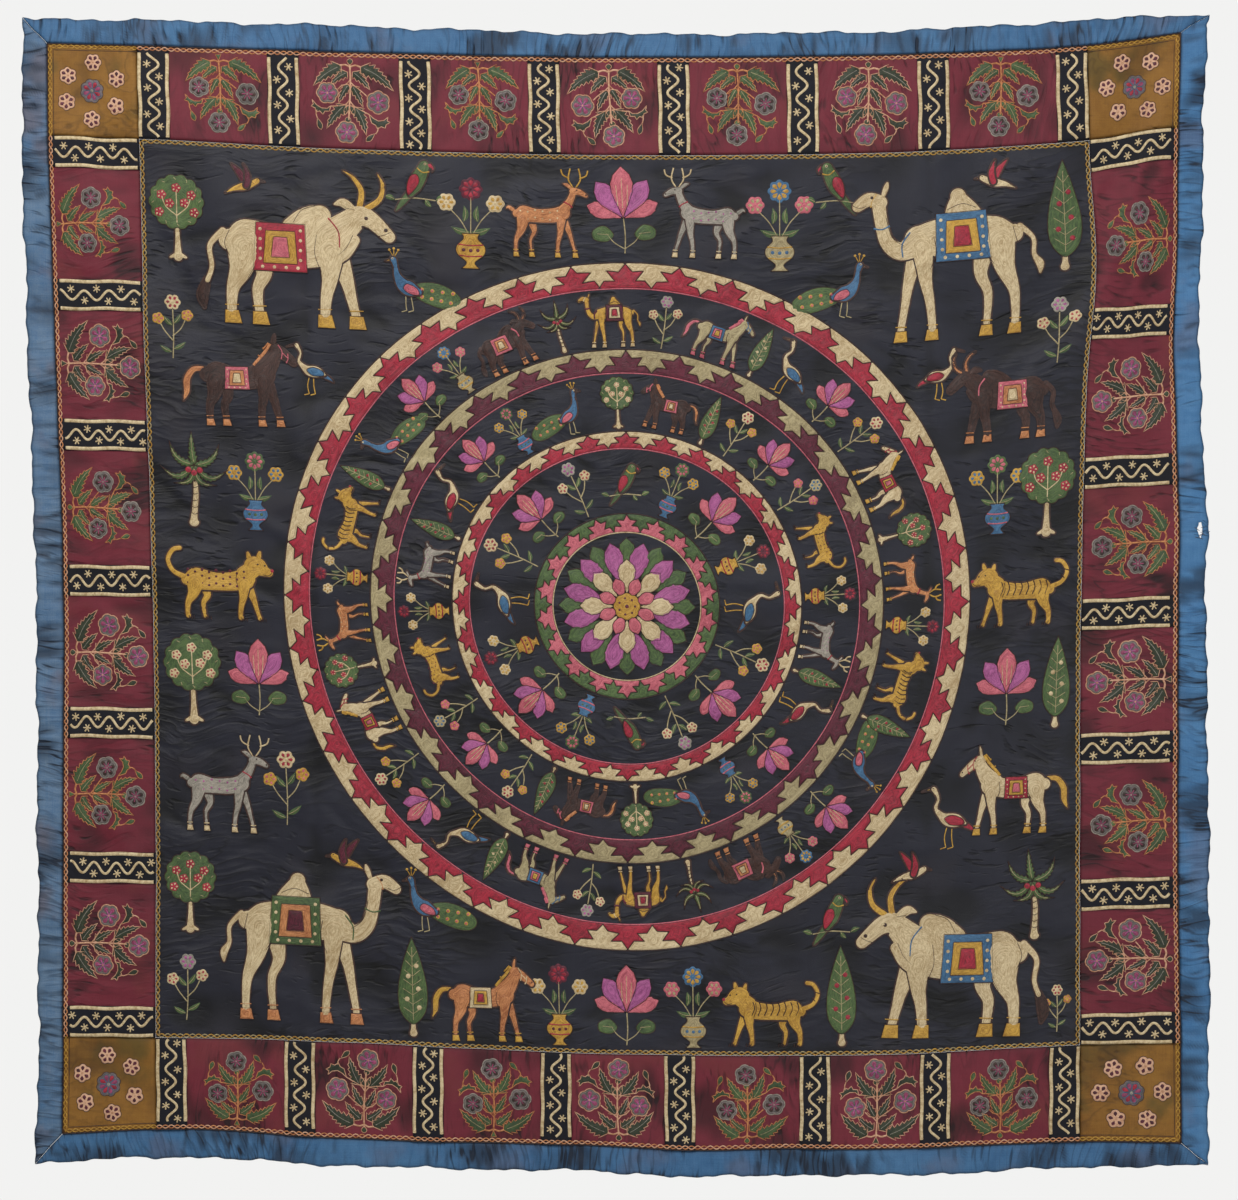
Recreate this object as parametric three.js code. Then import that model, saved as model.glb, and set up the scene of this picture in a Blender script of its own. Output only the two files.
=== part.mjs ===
// Embroidered temple hanging: a satin field, four silk border bands with applied strips, four corner squares
// and a mitred silk edging, as the cloth hangs from its two upper corners.
// Millimetres, +Z up, +X to the right, the face towards -Y. The origin is the middle of the top edge.
import * as THREE from "three";

// Flat pattern
const FIELD_WIDTH = 1024;
const FIELD_HEIGHT = 988;
const BAND_WIDTH = 105;
const EDGING_WIDTH = 29;
const STRIP_WIDTH = 34;

// Thickness of each kind of cloth, with the embroidery and turnings that it holds
const GROUND_THICKNESS = 2;
const EDGING_THICKNESS = 2.6;
const STRIP_THICKNESS = 1.2;
const GAP = 0.3;

// Across the flat pattern u runs right from the middle; down it v runs from the top edge.
const FIELD_SIDE = FIELD_WIDTH / 2;
const SEAM_SIDE = FIELD_SIDE + BAND_WIDTH;
const OUTER_SIDE = SEAM_SIDE + EDGING_WIDTH;
const FIELD_TOP = EDGING_WIDTH + BAND_WIDTH;
const FIELD_FOOT = FIELD_TOP + FIELD_HEIGHT;
const SEAM_FOOT = FIELD_FOOT + BAND_WIDTH;
const OUTER_FOOT = SEAM_FOOT + EDGING_WIDTH;

// Mesh size: the longest side of a cell of the field, a band and the edging
const FIELD_CELL = 31;
const BAND_CELL = 28;
const EDGING_CELL = 32;

// Where each upright line of the pattern hangs: u in the pattern, then its x at seven depths below the top
// edge. The cloth leans in on the left towards the foot and is drawn out at the upper right.
const DEPTHS = { top: 0, high: 134, upper: 330, middle: 628, lower: 926, low: 1122, foot: 1256 };
const UPRIGHTS = [
  { u: -OUTER_SIDE, top: -651, high: -653, upper: -648, middle: -638, lower: -636, low: -635, foot: -638 },
  { u: -SEAM_SIDE, top: -626, high: -624, upper: -618, middle: -608, lower: -608, low: -608, foot: -609 },
  { u: -FIELD_SIDE, top: -527, high: -524, upper: -519, middle: -509, lower: -505, low: -505, foot: -504 },
  { u: FIELD_SIDE, top: 517, high: 519, upper: 518, middle: 511, lower: 509, low: 509, foot: 509 },
  { u: SEAM_SIDE, top: 622, high: 618, upper: 616, middle: 618, lower: 618, low: 621, foot: 622 },
  { u: OUTER_SIDE, top: 651, high: 646, upper: 644, middle: 648, lower: 652, low: 652, foot: 650 },
];

// Where each level line of the pattern hangs: v in the pattern, then its z at seven places from left to
// right. The two held corners draw it up, and it sags between them.
const PLACES = { edgeL: -646, seamL: -512, midL: -300, middle: 0, midR: 300, seamR: 512, edgeR: 646 };
const LEVELS = [
  { v: 0, edgeL: 17, seamL: 15, midL: 9, middle: 0, midR: 3, seamR: 15, edgeR: 22 },
  { v: EDGING_WIDTH, edgeL: -10, seamL: -13, midL: -20, middle: -26, midR: -23, seamR: -13, edgeR: 5 },
  { v: FIELD_TOP, edgeL: -112, seamL: -116, midL: -127, middle: -134, midR: -131, seamR: -119, edgeR: -109 },
  { v: FIELD_FOOT, edgeL: -1102, seamL: -1103, midL: -1108, middle: -1121, midR: -1121, seamR: -1111, edgeR: -1109 },
  { v: SEAM_FOOT, edgeL: -1211, seamL: -1207, midL: -1214, middle: -1222, midR: -1225, seamR: -1218, edgeR: -1221 },
  { v: OUTER_FOOT, edgeL: -1242, seamL: -1238, midL: -1244, middle: -1250, midR: -1254, seamR: -1246, edgeR: -1245 },
];

// Local pulls in the plane of the cloth: where, how far each reaches, and how far it moves the cloth
const PULLS = [
  { name: "field drawn out at the upper right", u: 512, v: 262, reach: 85, right: 9, up: 0 },
  { name: "band lifted under the right corner square", u: 600, v: 150, reach: 70, right: 0, up: 8 },
  { name: "right edge drawn in", u: 646, v: 350, reach: 60, right: -4, up: 0 },
  { name: "right edge let out at the tear", u: 646, v: 560, reach: 50, right: 3, up: 0 },
  { name: "foot dropped right of the middle", u: 80, v: 1256, reach: 70, right: 0, up: -5 },
  { name: "foot lifted left of the middle", u: -470, v: 1256, reach: 90, right: 0, up: 4 },
];

// Folds and creases: the line of each from one end to the other, its half width and how far it stands
// forwards (plus) or back (minus)
const FOLDS = [
  { name: "left storage fold", u1: -337, v1: -60, u2: -333, v2: 1320, wide: 30, rise: 2.6 },
  { name: "middle storage fold", u1: -2, v1: -60, u2: 4, v2: 1320, wide: 30, rise: -3.2 },
  { name: "right storage fold", u1: 340, v1: -60, u2: 342, v2: 1320, wide: 30, rise: 2.8 },
  { name: "upper storage fold", u1: -720, v1: 300, u2: 720, v2: 310, wide: 30, rise: -2.2 },
  { name: "centre storage fold", u1: -720, v1: 608, u2: 720, v2: 618, wide: 30, rise: 3.2 },
  { name: "lower storage fold", u1: -720, v1: 940, u2: 720, v2: 932, wide: 30, rise: -2.4 },
  { name: "right corner, steep pull", u1: 640, v1: 30, u2: 470, v2: 420, wide: 34, rise: 6.5 },
  { name: "right corner, steep hollow", u1: 610, v1: 40, u2: 415, v2: 380, wide: 36, rise: -6 },
  { name: "right corner, long pull", u1: 600, v1: 20, u2: 210, v2: 420, wide: 48, rise: 4 },
  { name: "right corner, down the edge", u1: 640, v1: 90, u2: 560, v2: 700, wide: 30, rise: -5 },
  { name: "left corner, steep pull", u1: -640, v1: 30, u2: -500, v2: 430, wide: 36, rise: 5 },
  { name: "left corner, steep hollow", u1: -600, v1: 30, u2: -420, v2: 390, wide: 40, rise: -4 },
  { name: "left corner, long pull", u1: -590, v1: 20, u2: -230, v2: 360, wide: 50, rise: 3.5 },
  { name: "lower right hollow", u1: 500, v1: 640, u2: 330, v2: 1010, wide: 55, rise: -5 },
  { name: "lower right roll", u1: 560, v1: 760, u2: 450, v2: 1260, wide: 45, rise: 5 },
  { name: "lower left roll", u1: -600, v1: 700, u2: -470, v2: 1260, wide: 50, rise: 4.5 },
  { name: "left edge hollow", u1: -620, v1: 480, u2: -560, v2: 1000, wide: 34, rise: -4 },
  { name: "foot flute, left", u1: -190, v1: 1080, u2: -215, v2: 1290, wide: 45, rise: 6 },
  { name: "foot flute, middle", u1: 60, v1: 1060, u2: 70, v2: 1290, wide: 42, rise: -6 },
  { name: "foot flute, right", u1: 250, v1: 1080, u2: 268, v2: 1290, wide: 48, rise: 6 },
];

// The slack belly of the whole cloth between its held corners, and where it would close, in cloth heights
const BELLY = 9;
const BELLY_DEPTH = 1.25;

// Fine unevenness of the free edges: each wave's length and size
const EDGE_WAVES = [
  { length: 171, size: 0.9, start: 0.4 },
  { length: 83, size: 0.7, start: 2.1 },
];

// Divider strips: how many a band has, and how far each was sewn from its even place
const STRIPS = [
  { side: "top", level: true, shift: [0, -1.5, -1, -3.5, -5, -7.5, -8, 0] },
  { side: "bottom", level: true, shift: [0, 1, 2, 2, -2, 6, -2, 0] },
  { side: "left", level: false, shift: [0, -2.5, -8, -7, -10, -10, 0] },
  { side: "right", level: false, shift: [0, 24, 28, 24, 12, 12, 0] },
];

// Colours and surfaces as they show
const FINISHES = {
  field: new THREE.MeshStandardMaterial({ color: 0x2c2c3a, roughness: 0.42, metalness: 0 }),
  band: new THREE.MeshStandardMaterial({ color: 0x6e2332, roughness: 0.55, metalness: 0 }),
  strip: new THREE.MeshStandardMaterial({ color: 0x23263a, roughness: 0.6, metalness: 0 }),
  corner: new THREE.MeshStandardMaterial({ color: 0xa06e28, roughness: 0.55, metalness: 0 }),
  edging: new THREE.MeshStandardMaterial({ color: 0x2d69a0, roughness: 0.45, metalness: 0 }),
};

// A smooth value at place t, from values given at rising places.
function smoothAt(places, values, t) {
  const last = places.length - 1;
  let i = 0;
  while (i < last - 1 && t > places[i + 1]) i += 1;
  const slope = (k) => {
    const a = Math.max(k - 1, 0);
    const b = Math.min(k + 1, last);
    return (values[b] - values[a]) / (places[b] - places[a]);
  };
  const step = places[i + 1] - places[i];
  const s = Math.min(Math.max((t - places[i]) / step, 0), 1);
  const s2 = s * s;
  const s3 = s2 * s;
  return (
    (2 * s3 - 3 * s2 + 1) * values[i] +
    (s3 - 2 * s2 + s) * step * slope(i) +
    (3 * s2 - 2 * s3) * values[i + 1] +
    (s3 - s2) * step * slope(i + 1)
  );
}

// The position that a table's lines give at place p across them and depth t along them.
function lineAt(rows, key, stations, p, t) {
  const places = Object.values(stations);
  const read = (row) => smoothAt(places, Object.keys(stations).map((name) => row[name]), t);
  let i = 0;
  while (i < rows.length - 2 && p > rows[i + 1][key]) i += 1;
  const share = (p - rows[i][key]) / (rows[i + 1][key] - rows[i][key]);
  return read(rows[i]) * (1 - share) + read(rows[i + 1]) * share;
}

// How far forwards the cloth stands at a place of the pattern.
function reliefAt(u, v) {
  const acrossBelly = Math.cos((Math.PI * u) / (2 * OUTER_SIDE));
  const downBelly = Math.sin((Math.PI * v) / (BELLY_DEPTH * OUTER_FOOT));
  let forward = BELLY * acrossBelly * downBelly;
  for (const f of FOLDS) {
    const du = f.u2 - f.u1;
    const dv = f.v2 - f.v1;
    const length = Math.hypot(du, dv);
    const s = ((u - f.u1) * du + (v - f.v1) * dv) / (length * length);
    const off = ((u - f.u1) * dv - (v - f.v1) * du) / length;
    if (s <= 0 || s >= 1) continue;
    forward += f.rise * Math.exp(-((off / f.wide) ** 2)) * Math.sin(Math.PI * s) ** 0.5;
  }
  return forward;
}

// How far a free edge strays from its line at a place along it.
function strayAt(along) {
  return EDGE_WAVES.reduce((sum, w) => sum + w.size * Math.sin((2 * Math.PI * along) / w.length + w.start), 0);
}

// The hung place of a point of the flat pattern, with the face's own depth.
function hang(u, v) {
  let x = lineAt(UPRIGHTS, "u", DEPTHS, u, v);
  let z = lineAt(LEVELS, "v", PLACES, v, u);
  for (const p of PULLS) {
    const share = Math.exp(-(((u - p.u) / p.reach) ** 2 + ((v - p.v) / p.reach) ** 2));
    x += p.right * share;
    z += p.up * share;
  }
  const past = (distance) => Math.max(0, 1 - distance / EDGING_WIDTH);
  x += strayAt(v) * (past(OUTER_SIDE - u) - past(u + OUTER_SIDE));
  z += strayAt(u) * (past(v) - past(OUTER_FOOT - v));
  return { x, z, y: reliefAt(0, 0) - EDGING_THICKNESS / 2 - reliefAt(u, v) };
}

// Even steps from a to b, none longer than cell.
function steps(a, b, cell) {
  const count = Math.max(1, Math.ceil((b - a) / cell - 1e-6));
  return Array.from({ length: count + 1 }, (_, i) => a + ((b - a) * i) / count);
}

// A closed sheet of cloth over a grid of the flat pattern. lift moves it forwards off the common face.
function sheet(name, finish, columns, rows, thickness, lift = 0, place = (a, b) => [a, b]) {
  const positions = [];
  const across = columns.length;
  const down = rows.length;
  for (const back of [0, thickness]) {
    for (const b of rows) {
      for (const a of columns) {
        const at = hang(...place(a, b));
        positions.push(at.x, at.y - lift + back, at.z);
      }
    }
  }
  const faces = [];
  const quad = (a, b, c, d) => faces.push(a, b, c, a, c, d);
  const front = (i, j) => j * across + i;
  const rear = (i, j) => across * down + j * across + i;
  for (let j = 0; j < down - 1; j += 1) {
    for (let i = 0; i < across - 1; i += 1) {
      quad(front(i, j), front(i, j + 1), front(i + 1, j + 1), front(i + 1, j));
      faces.push(rear(i, j), rear(i + 1, j + 1), rear(i, j + 1));
      faces.push(rear(i, j), rear(i + 1, j), rear(i + 1, j + 1));
    }
    quad(front(0, j), rear(0, j), rear(0, j + 1), front(0, j + 1));
    quad(front(across - 1, j), front(across - 1, j + 1), rear(across - 1, j + 1), rear(across - 1, j));
  }
  for (let i = 0; i < across - 1; i += 1) {
    quad(front(i, 0), front(i + 1, 0), rear(i + 1, 0), rear(i, 0));
    quad(front(i, down - 1), rear(i, down - 1), rear(i + 1, down - 1), front(i + 1, down - 1));
  }
  const geometry = new THREE.BufferGeometry();
  geometry.setAttribute("position", new THREE.Float32BufferAttribute(positions, 3));
  geometry.setIndex(faces);
  geometry.computeVertexNormals();
  const mesh = new THREE.Mesh(geometry, finish);
  mesh.name = name;
  return mesh;
}

// The two ends of every divider strip of a band, measured along the band.
function stripSpans(row) {
  const start = row.level ? -FIELD_SIDE : FIELD_TOP;
  const reach = row.level ? FIELD_WIDTH : FIELD_HEIGHT;
  const pitch = (reach - STRIP_WIDTH) / (row.shift.length - 1);
  return row.shift.map((shift, i) => {
    const near = start + i * pitch + shift;
    return [near, near + STRIP_WIDTH];
  });
}

// Grid lines along a band: panels in even steps and one cell for each strip, so that a strip lies parallel
// to the band under it.
function bandLines(spans) {
  const lines = [];
  spans.forEach(([near, far], i) => {
    lines.push(near, far);
    if (i < spans.length - 1) lines.push(...steps(far, spans[i + 1][0], BAND_CELL).slice(1, -1));
  });
  lines[0] += GAP / 2;
  const end = lines.indexOf(spans.at(-1)[1]);
  lines[end] -= GAP / 2;
  return lines;
}

// One border band and the strips sewn over it.
function bandWithStrips(row) {
  const near = { top: EDGING_WIDTH, bottom: FIELD_FOOT, left: -SEAM_SIDE, right: FIELD_SIDE }[row.side];
  const across = steps(near + GAP / 2, near + BAND_WIDTH - GAP / 2, BAND_CELL);
  const spans = stripSpans(row);
  const along = bandLines(spans);
  const group = new THREE.Group();
  const add = (name, finish, lines, thickness, lift) => {
    const [columns, rows] = row.level ? [lines, across] : [across, lines];
    group.add(sheet(name, finish, columns, rows, thickness, lift));
  };
  add(`band_${row.side}`, FINISHES.band, along, GROUND_THICKNESS, 0);
  spans.forEach(([from, to], i) => {
    const lines = [Math.max(from, along[0]), Math.min(to, along.at(-1))];
    add(`strip_${row.side}_${i + 1}`, FINISHES.strip, lines, STRIP_THICKNESS, STRIP_THICKNESS + GAP);
  });
  return group;
}

// One ochre corner square.
function cornerSquare(name, u, v) {
  const lines = (from) => steps(from + GAP / 2, from + BAND_WIDTH - GAP / 2, BAND_CELL);
  return sheet(name, FINISHES.corner, lines(u), lines(v), GROUND_THICKNESS);
}

// One edging strip with mitred ends. along runs from -1 to 1 and depth from the outer edge to the seam.
function edgingStrip(side) {
  const level = side === "top" || side === "bottom";
  const half = level ? OUTER_SIDE : OUTER_FOOT / 2;
  const mitreGap = (GAP * Math.SQRT2) / 2;
  const along = steps(-1, 1, EDGING_CELL / half);
  const depths = steps(0, EDGING_WIDTH - GAP / 2, EDGING_WIDTH / 2);
  const place = (a, depth) => {
    const run = a * (half - depth - mitreGap);
    if (side === "top") return [run, depth];
    if (side === "bottom") return [run, OUTER_FOOT - depth];
    if (side === "left") return [-OUTER_SIDE + depth, OUTER_FOOT / 2 + run];
    return [OUTER_SIDE - depth, OUTER_FOOT / 2 + run];
  };
  const rows = side === "top" ? depths : depths.toReversed();
  if (level) return sheet(`edging_${side}`, FINISHES.edging, along, rows, EDGING_THICKNESS, 0, place);
  const columns = side === "left" ? depths : depths.toReversed();
  const turned = (depth, a) => place(a, depth);
  return sheet(`edging_${side}`, FINISHES.edging, columns, along, EDGING_THICKNESS, 0, turned);
}

const hanging = new THREE.Group();
hanging.add(
  sheet(
    "field",
    FINISHES.field,
    steps(-FIELD_SIDE + GAP / 2, FIELD_SIDE - GAP / 2, FIELD_CELL),
    steps(FIELD_TOP + GAP / 2, FIELD_FOOT - GAP / 2, FIELD_CELL),
    GROUND_THICKNESS,
  ),
);
for (const row of STRIPS) hanging.add(bandWithStrips(row));
hanging.add(cornerSquare("corner_top_left", -SEAM_SIDE, EDGING_WIDTH));
hanging.add(cornerSquare("corner_top_right", FIELD_SIDE, EDGING_WIDTH));
hanging.add(cornerSquare("corner_bottom_left", -SEAM_SIDE, FIELD_FOOT));
hanging.add(cornerSquare("corner_bottom_right", FIELD_SIDE, FIELD_FOOT));
for (const side of ["top", "bottom", "left", "right"]) hanging.add(edgingStrip(side));

export default hanging;
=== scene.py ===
"""Embroidered temple hanging: a satin field with rings of stars, flower panels and a silk edging."""

from __future__ import annotations

import logging
import random
from collections.abc import Callable, Iterable, Sequence
from dataclasses import dataclass, field, replace
from enum import Enum
from math import ceil, cos, degrees, hypot, pi, radians, sin, sqrt, tau
from typing import NamedTuple

import bpy
import numpy as np
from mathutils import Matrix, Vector
from mathutils.geometry import delaunay_2d_cdt


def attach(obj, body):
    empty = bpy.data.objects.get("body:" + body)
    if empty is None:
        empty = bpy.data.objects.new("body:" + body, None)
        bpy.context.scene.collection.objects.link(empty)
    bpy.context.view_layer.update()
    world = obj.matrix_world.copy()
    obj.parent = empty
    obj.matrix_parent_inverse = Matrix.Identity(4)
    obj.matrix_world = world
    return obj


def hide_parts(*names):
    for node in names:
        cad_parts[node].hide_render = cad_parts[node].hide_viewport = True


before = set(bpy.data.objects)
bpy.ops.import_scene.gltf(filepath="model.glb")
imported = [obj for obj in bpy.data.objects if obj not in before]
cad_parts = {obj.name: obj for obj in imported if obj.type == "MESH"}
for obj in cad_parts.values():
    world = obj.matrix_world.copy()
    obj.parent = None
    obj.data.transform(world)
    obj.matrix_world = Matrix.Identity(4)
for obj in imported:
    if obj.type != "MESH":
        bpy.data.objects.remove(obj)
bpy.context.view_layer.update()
LOG = logging.getLogger("hanging")
Array = np.ndarray
Point = tuple[float, float]
Colour = tuple[float, float, float, float]

# Flat pattern in millimetres: u runs right from the middle, v runs down from the top edge.
MM = 0.001
FIELD_SIDE = 512.0
BAND_WIDTH = 105.0
EDGING_WIDTH = 29.0
STRIP_WIDTH = 34.0
SEAM_SIDE = FIELD_SIDE + BAND_WIDTH
OUTER_SIDE = SEAM_SIDE + EDGING_WIDTH
FIELD_TOP = EDGING_WIDTH + BAND_WIDTH
FIELD_FOOT = FIELD_TOP + 988.0
SEAM_FOOT = FIELD_FOOT + BAND_WIDTH
OUTER_FOOT = SEAM_FOOT + EDGING_WIDTH

# Thicknesses and gaps in millimetres, as in the solids
GROUND_THICKNESS = 2.0
EDGING_THICKNESS = 2.6
STRIP_THICKNESS = 1.2
GAP = 0.3
STRIP_LIFT = STRIP_THICKNESS + GAP

# The photograph's frame
PHOTO_WIDTH = 1238
PHOTO_HEIGHT = 1200
MM_PER_PIXEL = 1.1
PHOTO_MIDDLE = (616.0, 34.0)


class Hang(NamedTuple):
    """Where one line of the pattern hangs: its own u or v, then its x or z at seven places along it."""

    at: float
    places: tuple[float, ...]


class Pull(NamedTuple):
    """A local pull in the plane of the cloth."""

    u: float
    v: float
    reach: float
    right: float
    up: float


class Fold(NamedTuple):
    """A fold from one end to the other: its half width and how far it stands forwards."""

    u1: float
    v1: float
    u2: float
    v2: float
    wide: float
    rise: float


DEPTHS = np.array((0, 134, 330, 628, 926, 1122, 1256), float)
UPRIGHTS = (
    Hang(-OUTER_SIDE, (-651, -653, -648, -638, -636, -635, -638)),
    Hang(-SEAM_SIDE, (-626, -624, -618, -608, -608, -608, -609)),
    Hang(-FIELD_SIDE, (-527, -524, -519, -509, -505, -505, -504)),
    Hang(FIELD_SIDE, (517, 519, 518, 511, 509, 509, 509)),
    Hang(SEAM_SIDE, (622, 618, 616, 618, 618, 621, 622)),
    Hang(OUTER_SIDE, (651, 646, 644, 648, 652, 652, 650)),
)
PLACES = np.array((-646, -512, -300, 0, 300, 512, 646), float)
LEVELS = (
    Hang(0, (17, 15, 9, 0, 3, 15, 22)),
    Hang(EDGING_WIDTH, (-10, -13, -20, -26, -23, -13, 5)),
    Hang(FIELD_TOP, (-112, -116, -127, -134, -131, -119, -109)),
    Hang(FIELD_FOOT, (-1102, -1103, -1108, -1121, -1121, -1111, -1109)),
    Hang(SEAM_FOOT, (-1211, -1207, -1214, -1222, -1225, -1218, -1221)),
    Hang(OUTER_FOOT, (-1242, -1238, -1244, -1250, -1254, -1246, -1245)),
)
PULLS = (
    Pull(512, 262, 85, 9, 0),
    Pull(600, 150, 70, 0, 8),
    Pull(646, 350, 60, -4, 0),
    Pull(646, 560, 50, 3, 0),
    Pull(80, 1256, 70, 0, -5),
    Pull(-470, 1256, 90, 0, 4),
)
FOLDS = (
    Fold(-337, -60, -333, 1320, 30, 2.6),
    Fold(-2, -60, 4, 1320, 30, -3.2),
    Fold(340, -60, 342, 1320, 30, 2.8),
    Fold(-720, 300, 720, 310, 30, -2.2),
    Fold(-720, 608, 720, 618, 30, 3.2),
    Fold(-720, 940, 720, 932, 30, -2.4),
    Fold(640, 30, 470, 420, 34, 6.5),
    Fold(610, 40, 415, 380, 36, -6),
    Fold(600, 20, 210, 420, 48, 4),
    Fold(640, 90, 560, 700, 30, -5),
    Fold(-640, 30, -500, 430, 36, 5),
    Fold(-600, 30, -420, 390, 40, -4),
    Fold(-590, 20, -230, 360, 50, 3.5),
    Fold(500, 640, 330, 1010, 55, -5),
    Fold(560, 760, 450, 1260, 45, 5),
    Fold(-600, 700, -470, 1260, 50, 4.5),
    Fold(-620, 480, -560, 1000, 34, -4),
    Fold(-190, 1080, -215, 1290, 45, 6),
    Fold(60, 1060, 70, 1290, 42, -6),
    Fold(250, 1080, 268, 1290, 48, 6),
)
BELLY = 9.0
BELLY_DEPTH = 1.25
EDGE_WAVES = ((171.0, 0.9, 0.4), (83.0, 0.7, 2.1))

# Ripples in the outer edge, and sharp creases and tension wrinkles, finer than the solids hold
EDGE_RIPPLES = ((47.0, 0.7, 1.1), (26.0, 0.5, 0.2), (15.5, 0.25, 2.7))
CREASES = (
    Fold(-337, 20, -334, 1240, 7, -1.0),
    Fold(1, 20, 3, 1240, 7, 1.2),
    Fold(341, 20, 342, 1240, 7, -1.0),
    Fold(-640, 303, 640, 309, 7, 0.9),
    Fold(-640, 611, 640, 617, 8, -1.3),
    Fold(-640, 938, 640, 933, 7, 0.9),
    Fold(620, 70, 500, 330, 10, 1.9),
    Fold(600, 150, 455, 350, 9, -1.6),
    Fold(560, 130, 440, 300, 9, 1.5),
    Fold(545, 210, 420, 430, 9, 1.6),
    Fold(530, 250, 360, 500, 9, -1.4),
    Fold(610, 160, 520, 420, 8, 1.4),
    Fold(500, 380, 430, 560, 9, 1.3),
    Fold(520, 440, 455, 700, 9, -1.3),
    Fold(470, 620, 390, 800, 9, 1.4),
    Fold(440, 700, 330, 850, 9, -1.1),
    Fold(505, 760, 440, 960, 9, 1.0),
    Fold(-600, 70, -540, 300, 9, 1.3),
    Fold(-520, 160, -430, 330, 9, 1.1),
    Fold(-600, 640, -500, 700, 9, 1.0),
    Fold(-590, 860, -520, 940, 9, 0.9),
    Fold(-480, 1040, -300, 1100, 9, 1.2),
    Fold(-120, 1080, 60, 1110, 9, 1.1),
    Fold(150, 1060, 420, 1105, 10, 1.2),
)


class StripRow(NamedTuple):
    """The divider strips of one band: its side, its direction and how far each strip strays from even."""

    side: str
    level: bool
    shift: tuple[float, ...]


STRIP_ROWS = (
    StripRow("top", True, (0, -1.5, -1, -3.5, -5, -7.5, -8, 0)),
    StripRow("bottom", True, (0, 1, 2, 2, -2, 6, -2, 0)),
    StripRow("left", False, (0, -2.5, -8, -7, -10, -10, 0)),
    StripRow("right", False, (0, 24, 28, 24, 12, 12, 0)),
)
BAND_NEAR = {"top": EDGING_WIDTH, "bottom": FIELD_FOOT, "left": -SEAM_SIDE, "right": FIELD_SIDE}


def strip_spans(row: StripRow) -> list[Point]:
    """The two long sides of every strip of a band, measured along the band."""
    start = -FIELD_SIDE if row.level else FIELD_TOP
    reach = 2 * FIELD_SIDE if row.level else FIELD_FOOT - FIELD_TOP
    pitch = (reach - STRIP_WIDTH) / (len(row.shift) - 1)
    nears = [start + i * pitch + shift for i, shift in enumerate(row.shift)]
    return [(near, near + STRIP_WIDTH) for near in nears]


def strip_boxes() -> list[tuple[str, float, float, float, float]]:
    """Every strip's node name and its lowest and highest u and v."""
    boxes = []
    for row in STRIP_ROWS:
        near = BAND_NEAR[row.side] + GAP / 2
        far = near + BAND_WIDTH - GAP
        spans = strip_spans(row)
        start = spans[0][0] + GAP / 2
        end = spans[-1][1] - GAP / 2
        for i, (a, b) in enumerate(spans):
            a = max(a, start)
            b = min(b, end)
            name = f"strip_{row.side}_{i + 1}"
            boxes.append((name, a, b, near, far) if row.level else (name, near, far, a, b))
    return boxes


def smooth_at(places: Array, values: Sequence[float], t: Array) -> Array:
    """A smooth value at each t, from values given at rising places."""
    given = np.asarray(values, float)
    slopes = np.empty_like(given)
    slopes[1:-1] = (given[2:] - given[:-2]) / (places[2:] - places[:-2])
    slopes[0] = (given[1] - given[0]) / (places[1] - places[0])
    slopes[-1] = (given[-1] - given[-2]) / (places[-1] - places[-2])
    i = np.clip(np.searchsorted(places, t, side="left") - 1, 0, len(places) - 2)
    step = places[i + 1] - places[i]
    s = np.clip((t - places[i]) / step, 0, 1)
    s2 = s * s
    s3 = s2 * s
    near = (2 * s3 - 3 * s2 + 1) * given[i] + (s3 - 2 * s2 + s) * step * slopes[i]
    far = (3 * s2 - 2 * s3) * given[i + 1] + (s3 - s2) * step * slopes[i + 1]
    return near + far


def smooth_step(low: float, high: float, t: Array) -> Array:
    """A soft step from 0 at low to 1 at high."""
    s = np.clip((t - low) / (high - low), 0, 1)
    return s * s * (3 - 2 * s)


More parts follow.
